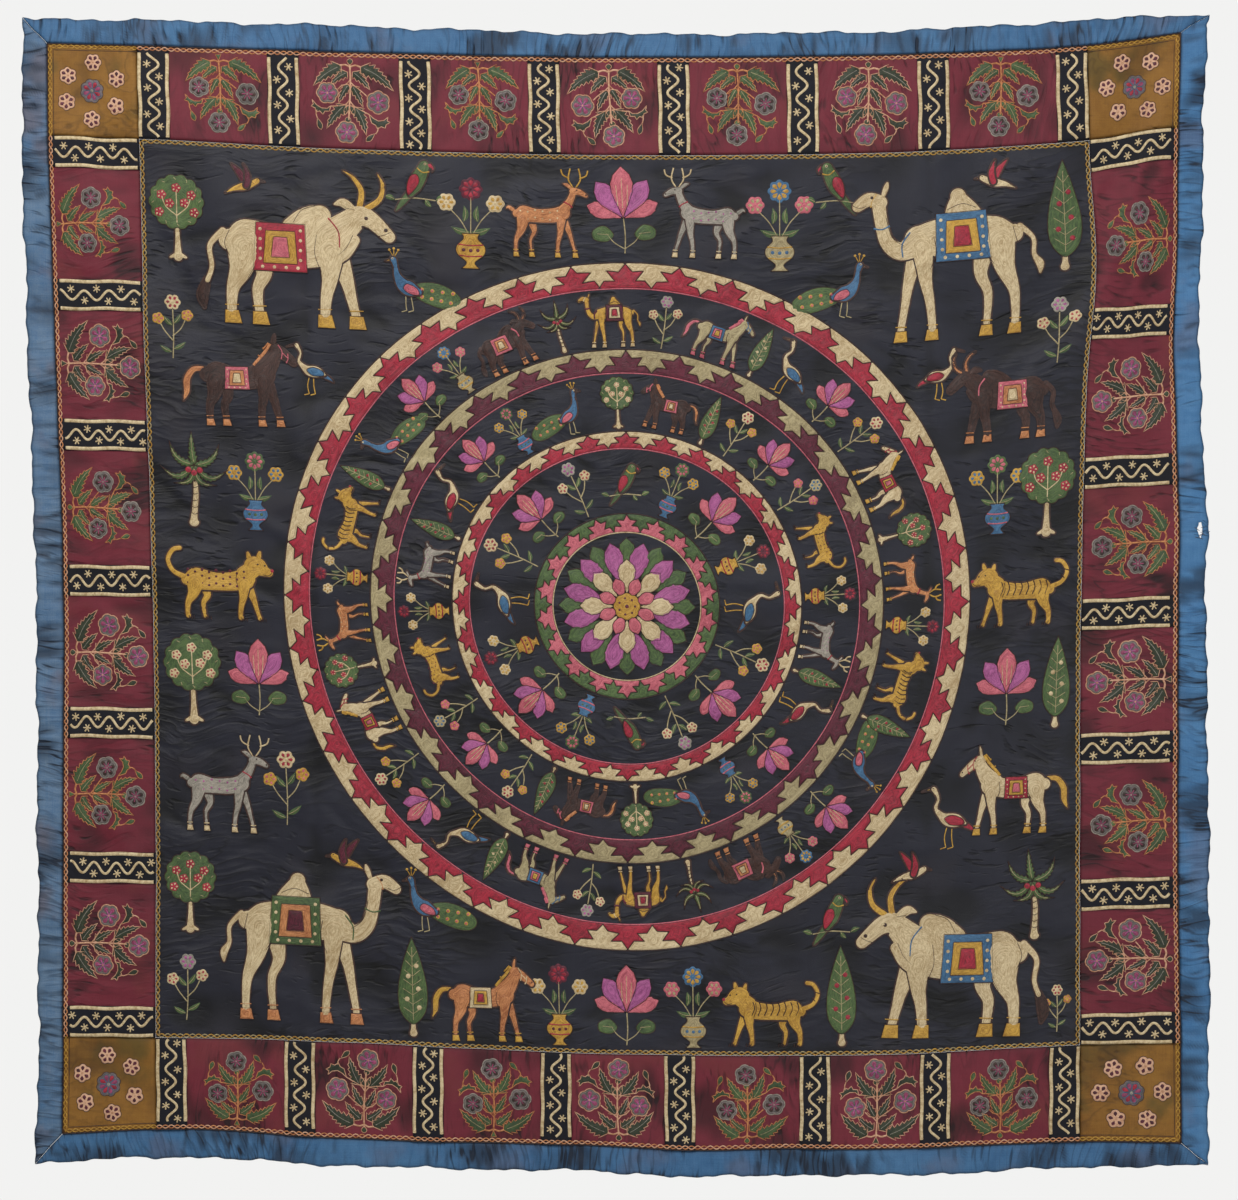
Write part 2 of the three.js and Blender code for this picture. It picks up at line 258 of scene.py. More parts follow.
@dataclass
class HungCloth:
    """The shape in which the cloth hangs, as a map from its flat pattern to space."""

    seed: int = 7
    crinkles: int = 420
    waves: int = 10

    def __post_init__(self) -> None:
        """Scatters the puckers that the stitching pulls up, the slow waves and the edging's pleats."""
        rng = random.Random(self.seed)
        self._boxes = strip_boxes()
        self._fine = [self._crinkle(rng) for _ in range(self.crinkles)]
        self._waves = [self._wave(rng) for _ in range(self.waves)]
        for reach, level in ((OUTER_SIDE, True), (OUTER_FOOT / 2, False)):
            for side in (-1, 1):
                self._fine += self._edging_pleats(rng, reach, level, side)

    @staticmethod
    def _crinkle(rng: random.Random) -> Fold:
        """A short pucker in the field, most often level."""
        u = rng.uniform(-FIELD_SIDE, FIELD_SIDE)
        v = rng.uniform(FIELD_TOP, FIELD_FOOT)
        tilt = rng.gauss(0, 0.35) + (0.6 if u > 300 and v < 600 else 0)
        half = rng.uniform(14, 42)
        rise = rng.choice((-1, -1, 1)) * rng.uniform(0.5, 1.3)
        du, dv = half * cos(tilt), -half * sin(tilt)
        return Fold(u - du, v - dv, u + du, v + dv, rng.uniform(4.5, 8), rise)

    @staticmethod
    def _wave(rng: random.Random) -> tuple[float, ...]:
        """A slow wave: how fast it runs in u and in v, its start and its height."""
        turn = rng.uniform(0, pi)
        length = rng.uniform(38, 120)
        across = tau / length
        return across * cos(turn), across * sin(turn), rng.uniform(0, 6.3), length / 400

    @staticmethod
    def _edging_pleats(rng: random.Random, reach: float, level: bool, side: int) -> list[Fold]:
        """Irregular short pleats across one side of the edging."""
        pleats = []
        at = -reach + 20
        while at < reach - 20:
            crowd = 0.5 + 0.5 * sin(at / 90 + side + level)
            at += rng.uniform(5, 14) + rng.uniform(0, 34) * crowd**2
            lean = rng.uniform(-7, 7)
            near, far = (-2, 31) if rng.random() < 0.6 else rng.choice(((-2, 17), (12, 33)))
            rise = rng.choice((-1, -1, 1)) * rng.uniform(0.5, 1.35)
            wide = rng.uniform(2.2, 3.6)
            if level:
                edge = OUTER_FOOT * (side > 0)
                pleats.append(Fold(at, edge - side * near, at + lean, edge - side * far, wide, rise))
            else:
                edge, v = side * OUTER_SIDE, at + OUTER_FOOT / 2
                pleats.append(Fold(edge - side * near, v, edge - side * far, v + lean, wide, rise))
        return pleats

    @staticmethod
    def _fold(fold: Fold, u: Array, v: Array) -> Array:
        """How far one fold lifts each place."""
        du = fold.u2 - fold.u1
        dv = fold.v2 - fold.v1
        length = hypot(du, dv)
        s = ((u - fold.u1) * du + (v - fold.v1) * dv) / length**2
        off = ((u - fold.u1) * dv - (v - fold.v1) * du) / length
        inside = (s > 0) & (s < 1) & (np.abs(off) < 3.5 * fold.wide)
        lift = np.zeros_like(u)
        ends = np.sin(np.pi * s[inside]) ** 0.5
        lift[inside] = fold.rise * np.exp(-((off[inside] / fold.wide) ** 2)) * ends
        return lift

    def relief(self, u: Array, v: Array) -> Array:
        """How far forwards the solids' cloth stands at each place of the pattern."""
        across = np.cos(np.pi * u / (2 * OUTER_SIDE))
        forward = BELLY * across * np.sin(np.pi * v / (BELLY_DEPTH * OUTER_FOOT))
        for fold in FOLDS:
            forward = forward + self._fold(fold, u, v)
        return forward

    def detail(self, u: Array, v: Array) -> Array:
        """Creases, puckers and unevenness too fine for the solids."""
        lift = np.zeros_like(u)
        for fold in (*CREASES, *self._fine):
            lift += self._fold(fold, u, v)
        for ku, kv, phase, size in self._waves:
            lift += 1.4 * size * np.sin(ku * u + kv * v + phase)
        side = np.minimum(OUTER_SIDE - np.abs(u), np.minimum(v, OUTER_FOOT - v))
        in_edging = 1 - smooth_step(EDGING_WIDTH - 4, EDGING_WIDTH + 10, side)
        along = np.where(OUTER_SIDE - np.abs(u) < np.minimum(v, OUTER_FOOT - v), v, u)
        slow = np.sin(along / 61 + 1.3) + np.sin(along / 37 + 0.4)
        flutes = np.sin(along / 2.9 + 2.2 * slow) * (0.55 + 0.35 * np.sin(along / 83))
        lift += 0.3 * in_edging * flutes * smooth_step(-2, 7, side)
        in_band = smooth_step(EDGING_WIDTH, EDGING_WIDTH + 14, side) * (1 - smooth_step(118, 140, side))
        lift += 0.5 * in_band * np.sin(along / 4.6 + 1.6 * slow) * np.sin(side / 17 + slow)
        return lift

    def ground_lift(self, u: Array, v: Array) -> Array:
        """How far the top cloth lies in front of the ground: only the strips lie over it."""
        lift = np.zeros_like(u)
        ramp = 0.9
        for _, u1, u2, v1, v2 in self._boxes:
            out = np.maximum(np.maximum(u1 - u, u - u2), np.maximum(v1 - v, v - v2))
            lift = np.maximum(lift, STRIP_LIFT * (1 - smooth_step(0, ramp, out)))
        return lift

    def place(self, u: Array, v: Array, lift: Array | float = 0.0) -> Array:
        """The hung places of points of the pattern, in metres.

        Args:
            u: Each point's place across the pattern.
            v: Each point's place down the pattern.
            lift: How far in front of the ground cloth's face each point lies, in millimetres.

        Returns:
            One row of x, y and z for each point.
        """
        x = self._between(UPRIGHTS, DEPTHS, v, u)
        z = self._between(LEVELS, PLACES, u, v)
        for pull in PULLS:
            share = np.exp(-(((u - pull.u) / pull.reach) ** 2) - ((v - pull.v) / pull.reach) ** 2)
            x = x + pull.right * share
            z = z + pull.up * share
        x = x + self._wander(v, OUTER_SIDE - u, u + OUTER_SIDE)
        z = z + self._wander(u, v, OUTER_FOOT - v)
        origin = np.zeros(1)
        rest = self.relief(origin, origin)[0] - EDGING_THICKNESS / 2
        y = rest - self.relief(u, v) - self.detail(u, v) - lift
        return np.stack((x, y, z), axis=1) * MM

    @staticmethod
    def _wander(along: Array, inside: Array, across: Array) -> Array:
        """How far the outer edge strays, from each point's distances to two opposite edges."""
        waves = EDGE_WAVES + EDGE_RIPPLES
        stray = sum(size * np.sin(2 * np.pi * along / length + start) for length, size, start in waves)
        past = [np.maximum(0, 1 - depth / EDGING_WIDTH) for depth in (inside, across)]
        return stray * (past[0] - past[1])

    @staticmethod
    def _between(lines: Sequence[Hang], places: Array, along: Array, across: Array) -> Array:
        """Each point's value between a bundle of lines, each given at places along it."""
        keys = np.array([line.at for line in lines])
        values = np.array([smooth_at(places, line.places, along) for line in lines])
        i = np.clip(np.searchsorted(keys, across, side="left") - 1, 0, len(keys) - 2)
        share = (across - keys[i]) / (keys[i + 1] - keys[i])
        n = np.arange(len(across))
        return values[i, n] * (1 - share) + values[i + 1, n] * share


def to_linear(code: int) -> tuple[float, float, float, float]:
    """A colour such as 0xE0CCA0 as linear red, green, blue and alpha."""
    parts = [((code >> shift) & 255) / 255 for shift in (16, 8, 0)]
    red, green, blue = (c / 12.92 if c <= 0.04045 else ((c + 0.055) / 1.055) ** 2.4 for c in parts)
    return red, green, blue, 1.0


@dataclass(frozen=True)
class ThreadFinish:
    """The finish of one embroidery thread: a material slot name, which is not used, and its lit and shaded
    colours.
    """

    slot: str
    light: int
    dark: int


class Thread(Enum):
    """The embroidery threads."""

    CREAM = ThreadFinish("thread_cream", 0xE8D3A8, 0xB2966A)
    PEACH = ThreadFinish("thread_orange", 0xE6B796, 0xB57C58)
    RED = ThreadFinish("thread_red", 0xBC2C42, 0x7A1828)
    MAROON = ThreadFinish("thread_maroon", 0x6E2238, 0x3E101C)
    WINE = ThreadFinish("thread_maroon", 0xAC4C72, 0x742A48)
    PINK = ThreadFinish("thread_pink", 0xC46AA4, 0x8A3F72)
    ROSE = ThreadFinish("thread_rose", 0xE07884, 0xA84858)
    GREEN = ThreadFinish("thread_green", 0x5E7642, 0x34482A)
    MOSS = ThreadFinish("thread_green", 0x40492C, 0x222A1C)
    OLIVE = ThreadFinish("thread_olive", 0xC4B488, 0x8E7E5A)
    YELLOW = ThreadFinish("thread_yellow", 0xDDAE48, 0xA27426)
    ORANGE = ThreadFinish("thread_orange", 0xDC9660, 0x9C5A32)
    BLUE = ThreadFinish("thread_blue", 0x4C7CA4, 0x2F5476)
    GREY = ThreadFinish("thread_grey", 0xB4AA9C, 0x78746A)
    ASH = ThreadFinish("thread_grey", 0x8A7A7C, 0x54504C)
    BROWN = ThreadFinish("thread_brown", 0x4A2E26, 0x22120F)


CREAM, PEACH, RED, MAROON, WINE, PINK, ROSE, GREEN = list(Thread)[:8]
MOSS, OLIVE, YELLOW, ORANGE, BLUE, GREY, ASH, BROWN = list(Thread)[8:]


@dataclass(frozen=True)
class ClothFinish:
    """The finish of one ground cloth: its colours, stains, weave, creases and lustre, the sheen painted in
    its lighter patches and the shade painted into its creases, folds and seams.
    """

    slot: str
    base: int
    # The worn colour: faded and rubbed places, and also the sheen painted in broad lighter patches.
    worn: int
    # The crease colour and the shade amount: painted shade in creases, puckers, fold valleys and along seams.
    crease_shade_colour: int
    stain: int
    mottle: float
    stained: float
    shade: float
    crinkle_depth: float
    along: float
    across: float
    roughness: float
    gloss: float = 0.4
    weave_pitch: float = 0.0007
    weave_depth: float = 0.00009


SATIN = ClothFinish(
    "field", 0x181926, 0x2D2E3C, 0x040408, 0x2E282C, 0.6, 0.3, 0.9, 0.0019, 15, 58, 0.4, 0.4, 0.0006, 0.00006
)
MAROON_SILK = ClothFinish(
    "band", 0x6A182A, 0x8C3342, 0x26060E, 0x7A3432, 0.65, 0.4, 0.75, 0.0013, 62, 14, 0.5
)
MAROON_UPRIGHT = replace(MAROON_SILK, along=14, across=62)
NAVY_SILK = ClothFinish(
    "strip", 0x0D0E18, 0x202231, 0x040408, 0x241E1C, 0.5, 0.2, 0.5, 0.0006, 26, 26, 0.6, 0.3
)
OCHRE_SILK = ClothFinish(
    "corner", 0x7C4F10, 0xAC7C32, 0x342006, 0x62501E, 0.9, 0.8, 0.5, 0.0009, 26, 40, 0.5
)
BLUE_SILK = ClothFinish(
    "edging", 0x255A8A, 0x5A8CB8, 0x0C2036, 0x6E5A5A, 0.8, 0.3, 0.85, 0.0018, 74, 10, 0.42, 0.45
)
BLUE_UPRIGHT = replace(BLUE_SILK, base=0x2A679E, worn=0x6298C6, along=10, across=74)
FADED_UPRIGHT = replace(BLUE_SILK, base=0x2E6494, worn=0x8499AC, stained=0.55, along=9, across=74)


class Effects:
    """Shader node groups that more than one finish uses, each built once."""

    def __init__(self) -> None:
        """Builds the groups."""
        self.weave = self._weave()
        self.crinkle = self._crinkle()
        self.wear_and_sheen = self._wear_and_sheen()
        self.stitches = self._stitches()

    @staticmethod
    def _group(name: str, inputs: dict[str, float | Colour], *outputs: str) -> Net:
        """A new group.

        Args:
            name: The group's name.
            inputs: Each input's name and default; four values make it a colour.
            outputs: Names of the outputs; one named Color is a colour.

        Returns:
            The net of the group, with its input and output nodes.
        """
        tree = bpy.data.node_groups.new(name, "ShaderNodeTree")
        for label, default in inputs.items():
            kind = "NodeSocketColor" if isinstance(default, tuple) else "NodeSocketFloat"
            socket = tree.interface.new_socket(label, in_out="INPUT", socket_type=kind)
            socket.default_value = default
        for label in outputs:
            kind = "NodeSocketColor" if label == "Color" else "NodeSocketFloat"
            tree.interface.new_socket(label, in_out="OUTPUT", socket_type=kind)
        tree.nodes.new("NodeGroupInput").name = "in"
        tree.nodes.new("NodeGroupOutput").name = "out"
        return Net(tree)

    def _weave(self) -> bpy.types.NodeTree:
        """Over-and-under threads of a plain weave, and the slubs in them."""
        net = self._group("Plain weave", {"Pitch": 0.0007, "Slub": 0.5}, "Height", "Streak")
        x, _, z = net.object_axes()
        scale = tau / net.input("Pitch")
        net.output("Height", (x * scale).sine() * (z * scale).sine())
        level = net.noise(net.vector(x * 22.0, 0.0, z * 1500.0), 1.0, 2.0)
        upright = net.noise(net.vector(x * 1500.0, 0.0, z * 22.0), 1.0, 2.0)
        net.output("Streak", ((level + upright) * 0.5 - 0.5) * net.input("Slub"))
        return net.tree

    def _crinkle(self) -> bpy.types.NodeTree:
        """Long creases and short puckers of thin silk, and the shade painted into them."""
        inputs = {"Along": 17.0, "Across": 62.0, "Sharpness": 1.6}
        net = self._group("Silk crinkle", inputs, "Height", "Shade")
        x, y, z = net.object_axes()
        place = net.vector(x, y, z)
        bend = net.noise(place, 9.0, 1.0) * 0.06
        x_bent = (x + bend) * net.input("Along")
        z_bent = (z + bend) * net.input("Across")
        ridge = abs((net.noise(net.vector(x_bent, 0.0, z_bent), 1.0, 2.5) - 0.5) * 2.0)
        sharp = (1.0 - ridge.clamp()) ** net.input("Sharpness")
        where = net.noise(place, 7.0, 2.0).ramp(0.36, 0.64)
        finer = net.vector(x_bent * 2.7, 7.0, z_bent * 2.7)
        short = net.noise(finer, 1.0, 1.0).ramp(0.55, 0.72)
        puckers = short * net.noise(place, 15.0, 2.0).ramp(0.40, 0.62)
        net.output("Height", sharp * where - puckers * 0.6)
        # Painted shade: the thin crease lines and the puckers darken the cloth's colour where they lie.
        thin = sharp.ramp(0.86, 1.0) * where
        net.output("Shade", (thin * 0.55 + puckers * 0.8).clamp())
        return net.tree

    def _wear_and_sheen(self) -> bpy.types.NodeTree:
        """Slow fading, fine dust, rubbed places and stains over a dyed colour; the lighter patches are also
        painted sheen.
        """
        inputs = {"Base": (0.5, 0.5, 0.5, 1.0), "Worn": (0.6, 0.6, 0.6, 1.0), "Mottle": 0.5, "Streak": 0.0}
        inputs |= {"Stain": (0.4, 0.3, 0.2, 1.0), "Stained": 0.3}
        net = self._group("Dye, wear and sheen", inputs, "Color", "Wear")
        x, y, z = net.object_axes()
        place = net.vector(x, y, z)
        # The mix of base and worn colour: fading and rubbing, and also broad patches of painted sheen.
        mix = net.noise(place, 5.0, 4.0) * 0.55 + net.noise(place, 90.0, 3.0) * 0.3
        mix = mix + net.noise(place, 900.0, 1.0) * 0.25 - 0.3 + net.input("Streak")
        amount = (mix * (net.input("Mottle") * 2.0)).clamp()
        dyed = net.mix(amount, net.input("Base"), net.input("Worn"))
        blots = net.noise(net.vector(z, x, y), 13.0, 5.0).ramp(0.52, 0.66) * net.input("Stained")
        net.output("Color", net.mix(blots, dyed, net.input("Stain")))
        net.output("Wear", amount)
        return net.tree

    def _stitches(self) -> bpy.types.NodeTree:
        """Rows of chain stitch that follow a filled shape's edge, or a line's own run."""
        inputs = {"Row pitch": 1.15, "Stitch": 1.9}
        inputs |= {"Light": (0.8, 0.7, 0.5, 1.0), "Dark": (0.5, 0.4, 0.2, 1.0)}
        net = self._group("Chain stitch", inputs, "Color", "Height")
        row, run, tone = (net.attribute(label) for label in ("row", "run", "tone"))
        turn = row / net.input("Row pitch")
        rows = (turn * tau).cosine()
        loops = abs(((run / net.input("Stitch") + abs(turn)) * pi).sine())
        place = net.vector(*net.object_axes())
        fleck = net.noise(net.vector(row * 0.9, run * 0.3, tone * 9.0), 1.0, 2.0)
        net.output("Height", rows * 0.3 + loops * 0.4 + fleck * 1.6)
        shade = fleck * 2.3 + net.noise(place, 760.0, 1.5) * 0.9 + rows * 0.1
        shade = shade + (net.noise(place, 45.0, 2.0) - 0.5) * 0.7 - 1.05 + tone
        net.output("Color", net.mix(shade.clamp(), net.input("Dark"), net.input("Light")))
        return net.tree


@dataclass(frozen=True)
class Value:
    """An output of a shader node, with the arithmetic that adds further nodes."""

    net: Net
    socket: bpy.types.NodeSocket

    def __add__(self, other: Value | float) -> Value:
        """A sum."""
        return self.net.math("ADD", self, other)

    def __sub__(self, other: Value | float) -> Value:
        """A difference."""
        return self.net.math("SUBTRACT", self, other)

    def __rsub__(self, other: float) -> Value:
        """A number less this value."""
        return self.net.math("SUBTRACT", other, self)

    def __mul__(self, other: Value | float) -> Value:
        """A product."""
        return self.net.math("MULTIPLY", self, other)

    def __truediv__(self, other: Value | float) -> Value:
        """A quotient."""
        return self.net.math("DIVIDE", self, other)

    def __rtruediv__(self, other: float) -> Value:
        """A number divided by this value."""
        return self.net.math("DIVIDE", other, self)

    def __pow__(self, other: Value | float) -> Value:
        """A power."""
        return self.net.math("POWER", self, other)

    def __abs__(self) -> Value:
        """The size without its sign."""
        return self.net.math("ABSOLUTE", self)

    def sine(self) -> Value:
        """Its sine."""
        return self.net.math("SINE", self)

    def cosine(self) -> Value:
        """Its cosine."""
        return self.net.math("COSINE", self)

    def clamp(self) -> Value:
        """The value kept from 0 to 1."""
        return self.net.place("ShaderNodeClamp", {0: self})

    def ramp(self, low: float, high: float) -> Value:
        """A soft step from 0 at low to 1 at high."""
        values = {"Value": self, "From Min": low, "From Max": high}
        return self.net.place("ShaderNodeMapRange", values, interpolation_type="SMOOTHSTEP")


@dataclass(frozen=True)
class Net:
    """Short ways of adding and joining shader nodes in one tree."""

    tree: bpy.types.NodeTree

    def feed(self, node: bpy.types.Node, values: dict[int | str, object]) -> bpy.types.Node:
        """Joins each named input of a node to a value, or sets it; hands the node back."""
        for label, value in values.items():
            if isinstance(value, Value):
                self.tree.links.new(value.socket, node.inputs[label])
            else:
                node.inputs[label].default_value = value
        return node

    def place(
        self, kind: str, values: dict[int | str, object], out: int | str = 0, **settings: object
    ) -> Value:
        """A new node's output.

        Args:
            kind: The node's type.
            values: What feeds its inputs.
            out: Which output.
            settings: Properties of the node.

        Returns:
            The output.
        """
        node = self.tree.nodes.new(kind)
        for label, value in settings.items():
            setattr(node, label, value)
        return Value(self, self.feed(node, values).outputs[out])

    def input(self, label: str) -> Value:
        """One of the group's inputs."""
        return Value(self, self.tree.nodes["in"].outputs[label])

    def output(self, label: str, value: Value) -> None:
        """Feeds one of the group's outputs."""
        self.feed(self.tree.nodes["out"], {label: value})

    def math(self, operation: str, a: Value | float, b: Value | float = 0.0) -> Value:
        """One step of arithmetic."""
        return self.place("ShaderNodeMath", {0: a, 1: b}, operation=operation)

    def mix(self, amount: Value, a: Value | Colour, b: Value | Colour) -> Value:
        """A mix of two colours."""
        return self.place("ShaderNodeMix", {0: amount, 6: a, 7: b}, 2, data_type="RGBA")

    def vector(self, x: Value | float, y: Value | float, z: Value | float) -> Value:
        """Three values as one vector."""
        return self.place("ShaderNodeCombineXYZ", {0: x, 1: y, 2: z})

    def object_axes(self) -> tuple[Value, ...]:
        """The object's own x, y and z."""
        place = self.place("ShaderNodeTexCoord", {}, "Object")
        split = self.feed(self.tree.nodes.new("ShaderNodeSeparateXYZ"), {0: place})
        return tuple(Value(self, socket) for socket in split.outputs)

    def noise(self, vector: Value, scale: float, detail: float) -> Value:
        """Smooth noise from 0 to 1."""
        return self.place("ShaderNodeTexNoise", {"Vector": vector, "Scale": scale, "Detail": detail}, "Fac")

    def attribute(self, label: str) -> Value:
        """A value that the mesh carries at its points."""
        return self.place("ShaderNodeAttribute", {}, "Fac", attribute_name=label)

    def group(self, tree: bpy.types.NodeTree, **values: object) -> dict[str, Value]:
        """The outputs of a node group placed with its own values; underscores in a name stand for spaces."""
        node = self.tree.nodes.new("ShaderNodeGroup")
        node.node_tree = tree
        self.feed(node, {label.replace("_", " "): value for label, value in values.items()})
        return {socket.name: Value(self, socket) for socket in node.outputs}

    def bump(self, height: Value, distance: float, strength: float, **under: Value) -> Value:
        """A normal bent by a height, over another normal where one is given."""
        values = {"Height": height, "Distance": distance, "Strength": strength}
        return self.place("ShaderNodeBump", values | under)


@dataclass
class Wardrobe:
    """The materials of the cloths and threads."""

    effects: Effects = field(default_factory=Effects)
    made: dict[str, bpy.types.Material] = field(default_factory=dict)

    def _start(self, name: str) -> Net:
        """The net of a new material."""
        material = bpy.data.materials.new(name)
        material.use_nodes = True
        self.made[name] = material
        return Net(material.node_tree)

    def cloth(self, finish: ClothFinish) -> bpy.types.Material:
        """The material of a ground cloth."""
        name = f"{finish.slot}_{finish.along:g}"
        if name in self.made:
            return self.made[name]
        net = self._start(name)
        weave = net.group(self.effects.weave, Pitch=finish.weave_pitch, Slub=0.55)
        crinkle = net.group(self.effects.crinkle, Along=finish.along, Across=finish.across)
        base, worn, stain, crease_shade_colour = map(to_linear, (finish.base, finish.worn, finish.stain, finish.crease_shade_colour))
        dye = {"Base": base, "Worn": worn, "Mottle": finish.mottle, "Streak": weave["Streak"]}
        wear_and_sheen = net.group(self.effects.wear_and_sheen, **dye, Stain=stain, Stained=finish.stained)
        # Painted shade: the crinkle's crease and pucker shade and the mesh's fold and seam shade darken the
        # dyed colour towards the crease colour.
        shaded = ((crinkle["Shade"] + net.attribute("fold")) * finish.shade).clamp()
        creased = net.bump(crinkle["Height"], finish.crinkle_depth, 1.0)
        surface = {
            "Base Color": net.mix(shaded, wear_and_sheen["Color"], crease_shade_colour),
            "Normal": net.bump(weave["Height"], finish.weave_depth, 0.6, Normal=creased),
            "Roughness": wear_and_sheen["Wear"] * 0.15 + finish.roughness,
            "Sheen Weight": 0.06,
            "Sheen Roughness": 0.4,
            "Specular IOR Level": finish.gloss,
        }
        net.feed(net.tree.nodes["Principled BSDF"], surface)
        return self.made[name]

    def thread(self, thread: Thread) -> bpy.types.Material:
        """The material of an embroidery thread."""
        name = f"thread_{thread.name.lower()}"
        if name in self.made:
            return self.made[name]
        net = self._start(name)
        light, dark = to_linear(thread.value.light), to_linear(thread.value.dark)
        stitches = net.group(self.effects.stitches, Light=light, Dark=dark)
        surface = {
            "Base Color": stitches["Color"],
            "Normal": net.bump(stitches["Height"], 0.00035, 0.7),
            "Roughness": 0.5,
            "Sheen Weight": 0.06,
            "Sheen Roughness": 0.35,
        }
        net.feed(net.tree.nodes["Principled BSDF"], surface)
        return self.made[name]

    def plain(self, name: str, colour: int, roughness: float) -> bpy.types.Material:
        """A quiet material for the floor."""
        net = self._start(name)
        tone = net.noise(net.vector(*net.object_axes()), 3.0, 3.0)
        lit = to_linear(colour)
        dim = tuple(c * 0.93 for c in lit[:3]) + (1.0,)
        surface = {"Base Color": net.mix(tone, dim, lit), "Roughness": roughness}
        net.feed(net.tree.nodes["Principled BSDF"], surface)
        return self.made[name]


def add_object(name: str, data: bpy.types.ID) -> bpy.types.Object:
    """A new object in the scene."""
    made = bpy.data.objects.new(name, data)
    bpy.context.scene.collection.objects.link(made)
    return made


def make_piece(
    name: str, places: Array, faces: Sequence[Array], material: bpy.types.Material
) -> bpy.types.Object:
    """A smooth-shaded piece that rides on the body of the hanging.

    Args:
        name: The piece's name.
        places: One row of x, y and z for each point, in metres.
        faces: Arrays of point numbers, one row for each face.
        material: The piece's material.

    Returns:
        The new object, linked to the scene.
    """
    mesh = bpy.data.meshes.new(name)
    mesh.from_pydata(places.tolist(), [], [face for group in faces for face in group.tolist()])
    mesh.polygons.foreach_set("use_smooth", np.ones(len(mesh.polygons), bool))
    mesh.materials.append(material)
    made = add_object(name, mesh)
    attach(made, "root")
    return made


def carry(piece: bpy.types.Object, label: str, values: Array) -> None:
    """Gives a piece's points a value each, for its material to read."""
    data = piece.data.attributes.new(label, "FLOAT", "POINT").data
    data.foreach_set("value", values.astype(np.float32))


def even_steps(a: float, b: float, cell: float) -> Array:
    """An even number of equal steps from a to b, none longer than cell."""
    return np.linspace(a, b, 2 * ceil((b - a) / cell / 2 - 1e-6) + 1)


class Edge(Enum):
    """How the rim of a cloth piece is finished."""

    SEAM = "seam"
    TURNED = "turned"
    BOUND = "bound"


class Tear(NamedTuple):
    """A place worn through: its lowest and highest u and v."""

    u1: float
    u2: float
    v1: float
    v2: float


EDGING_TEAR = Tear(634.5, 640.2, 556.0, 573.0)


def rim_of(number: Array, rows: slice, columns: slice) -> Array:
    """The point numbers round a block of a grid, from its first corner along its first row."""
    block = number[rows, columns]
    return np.concatenate((block[0, :], block[1:, -1], block[-1, -2::-1], block[-2:0:-1, 0]))


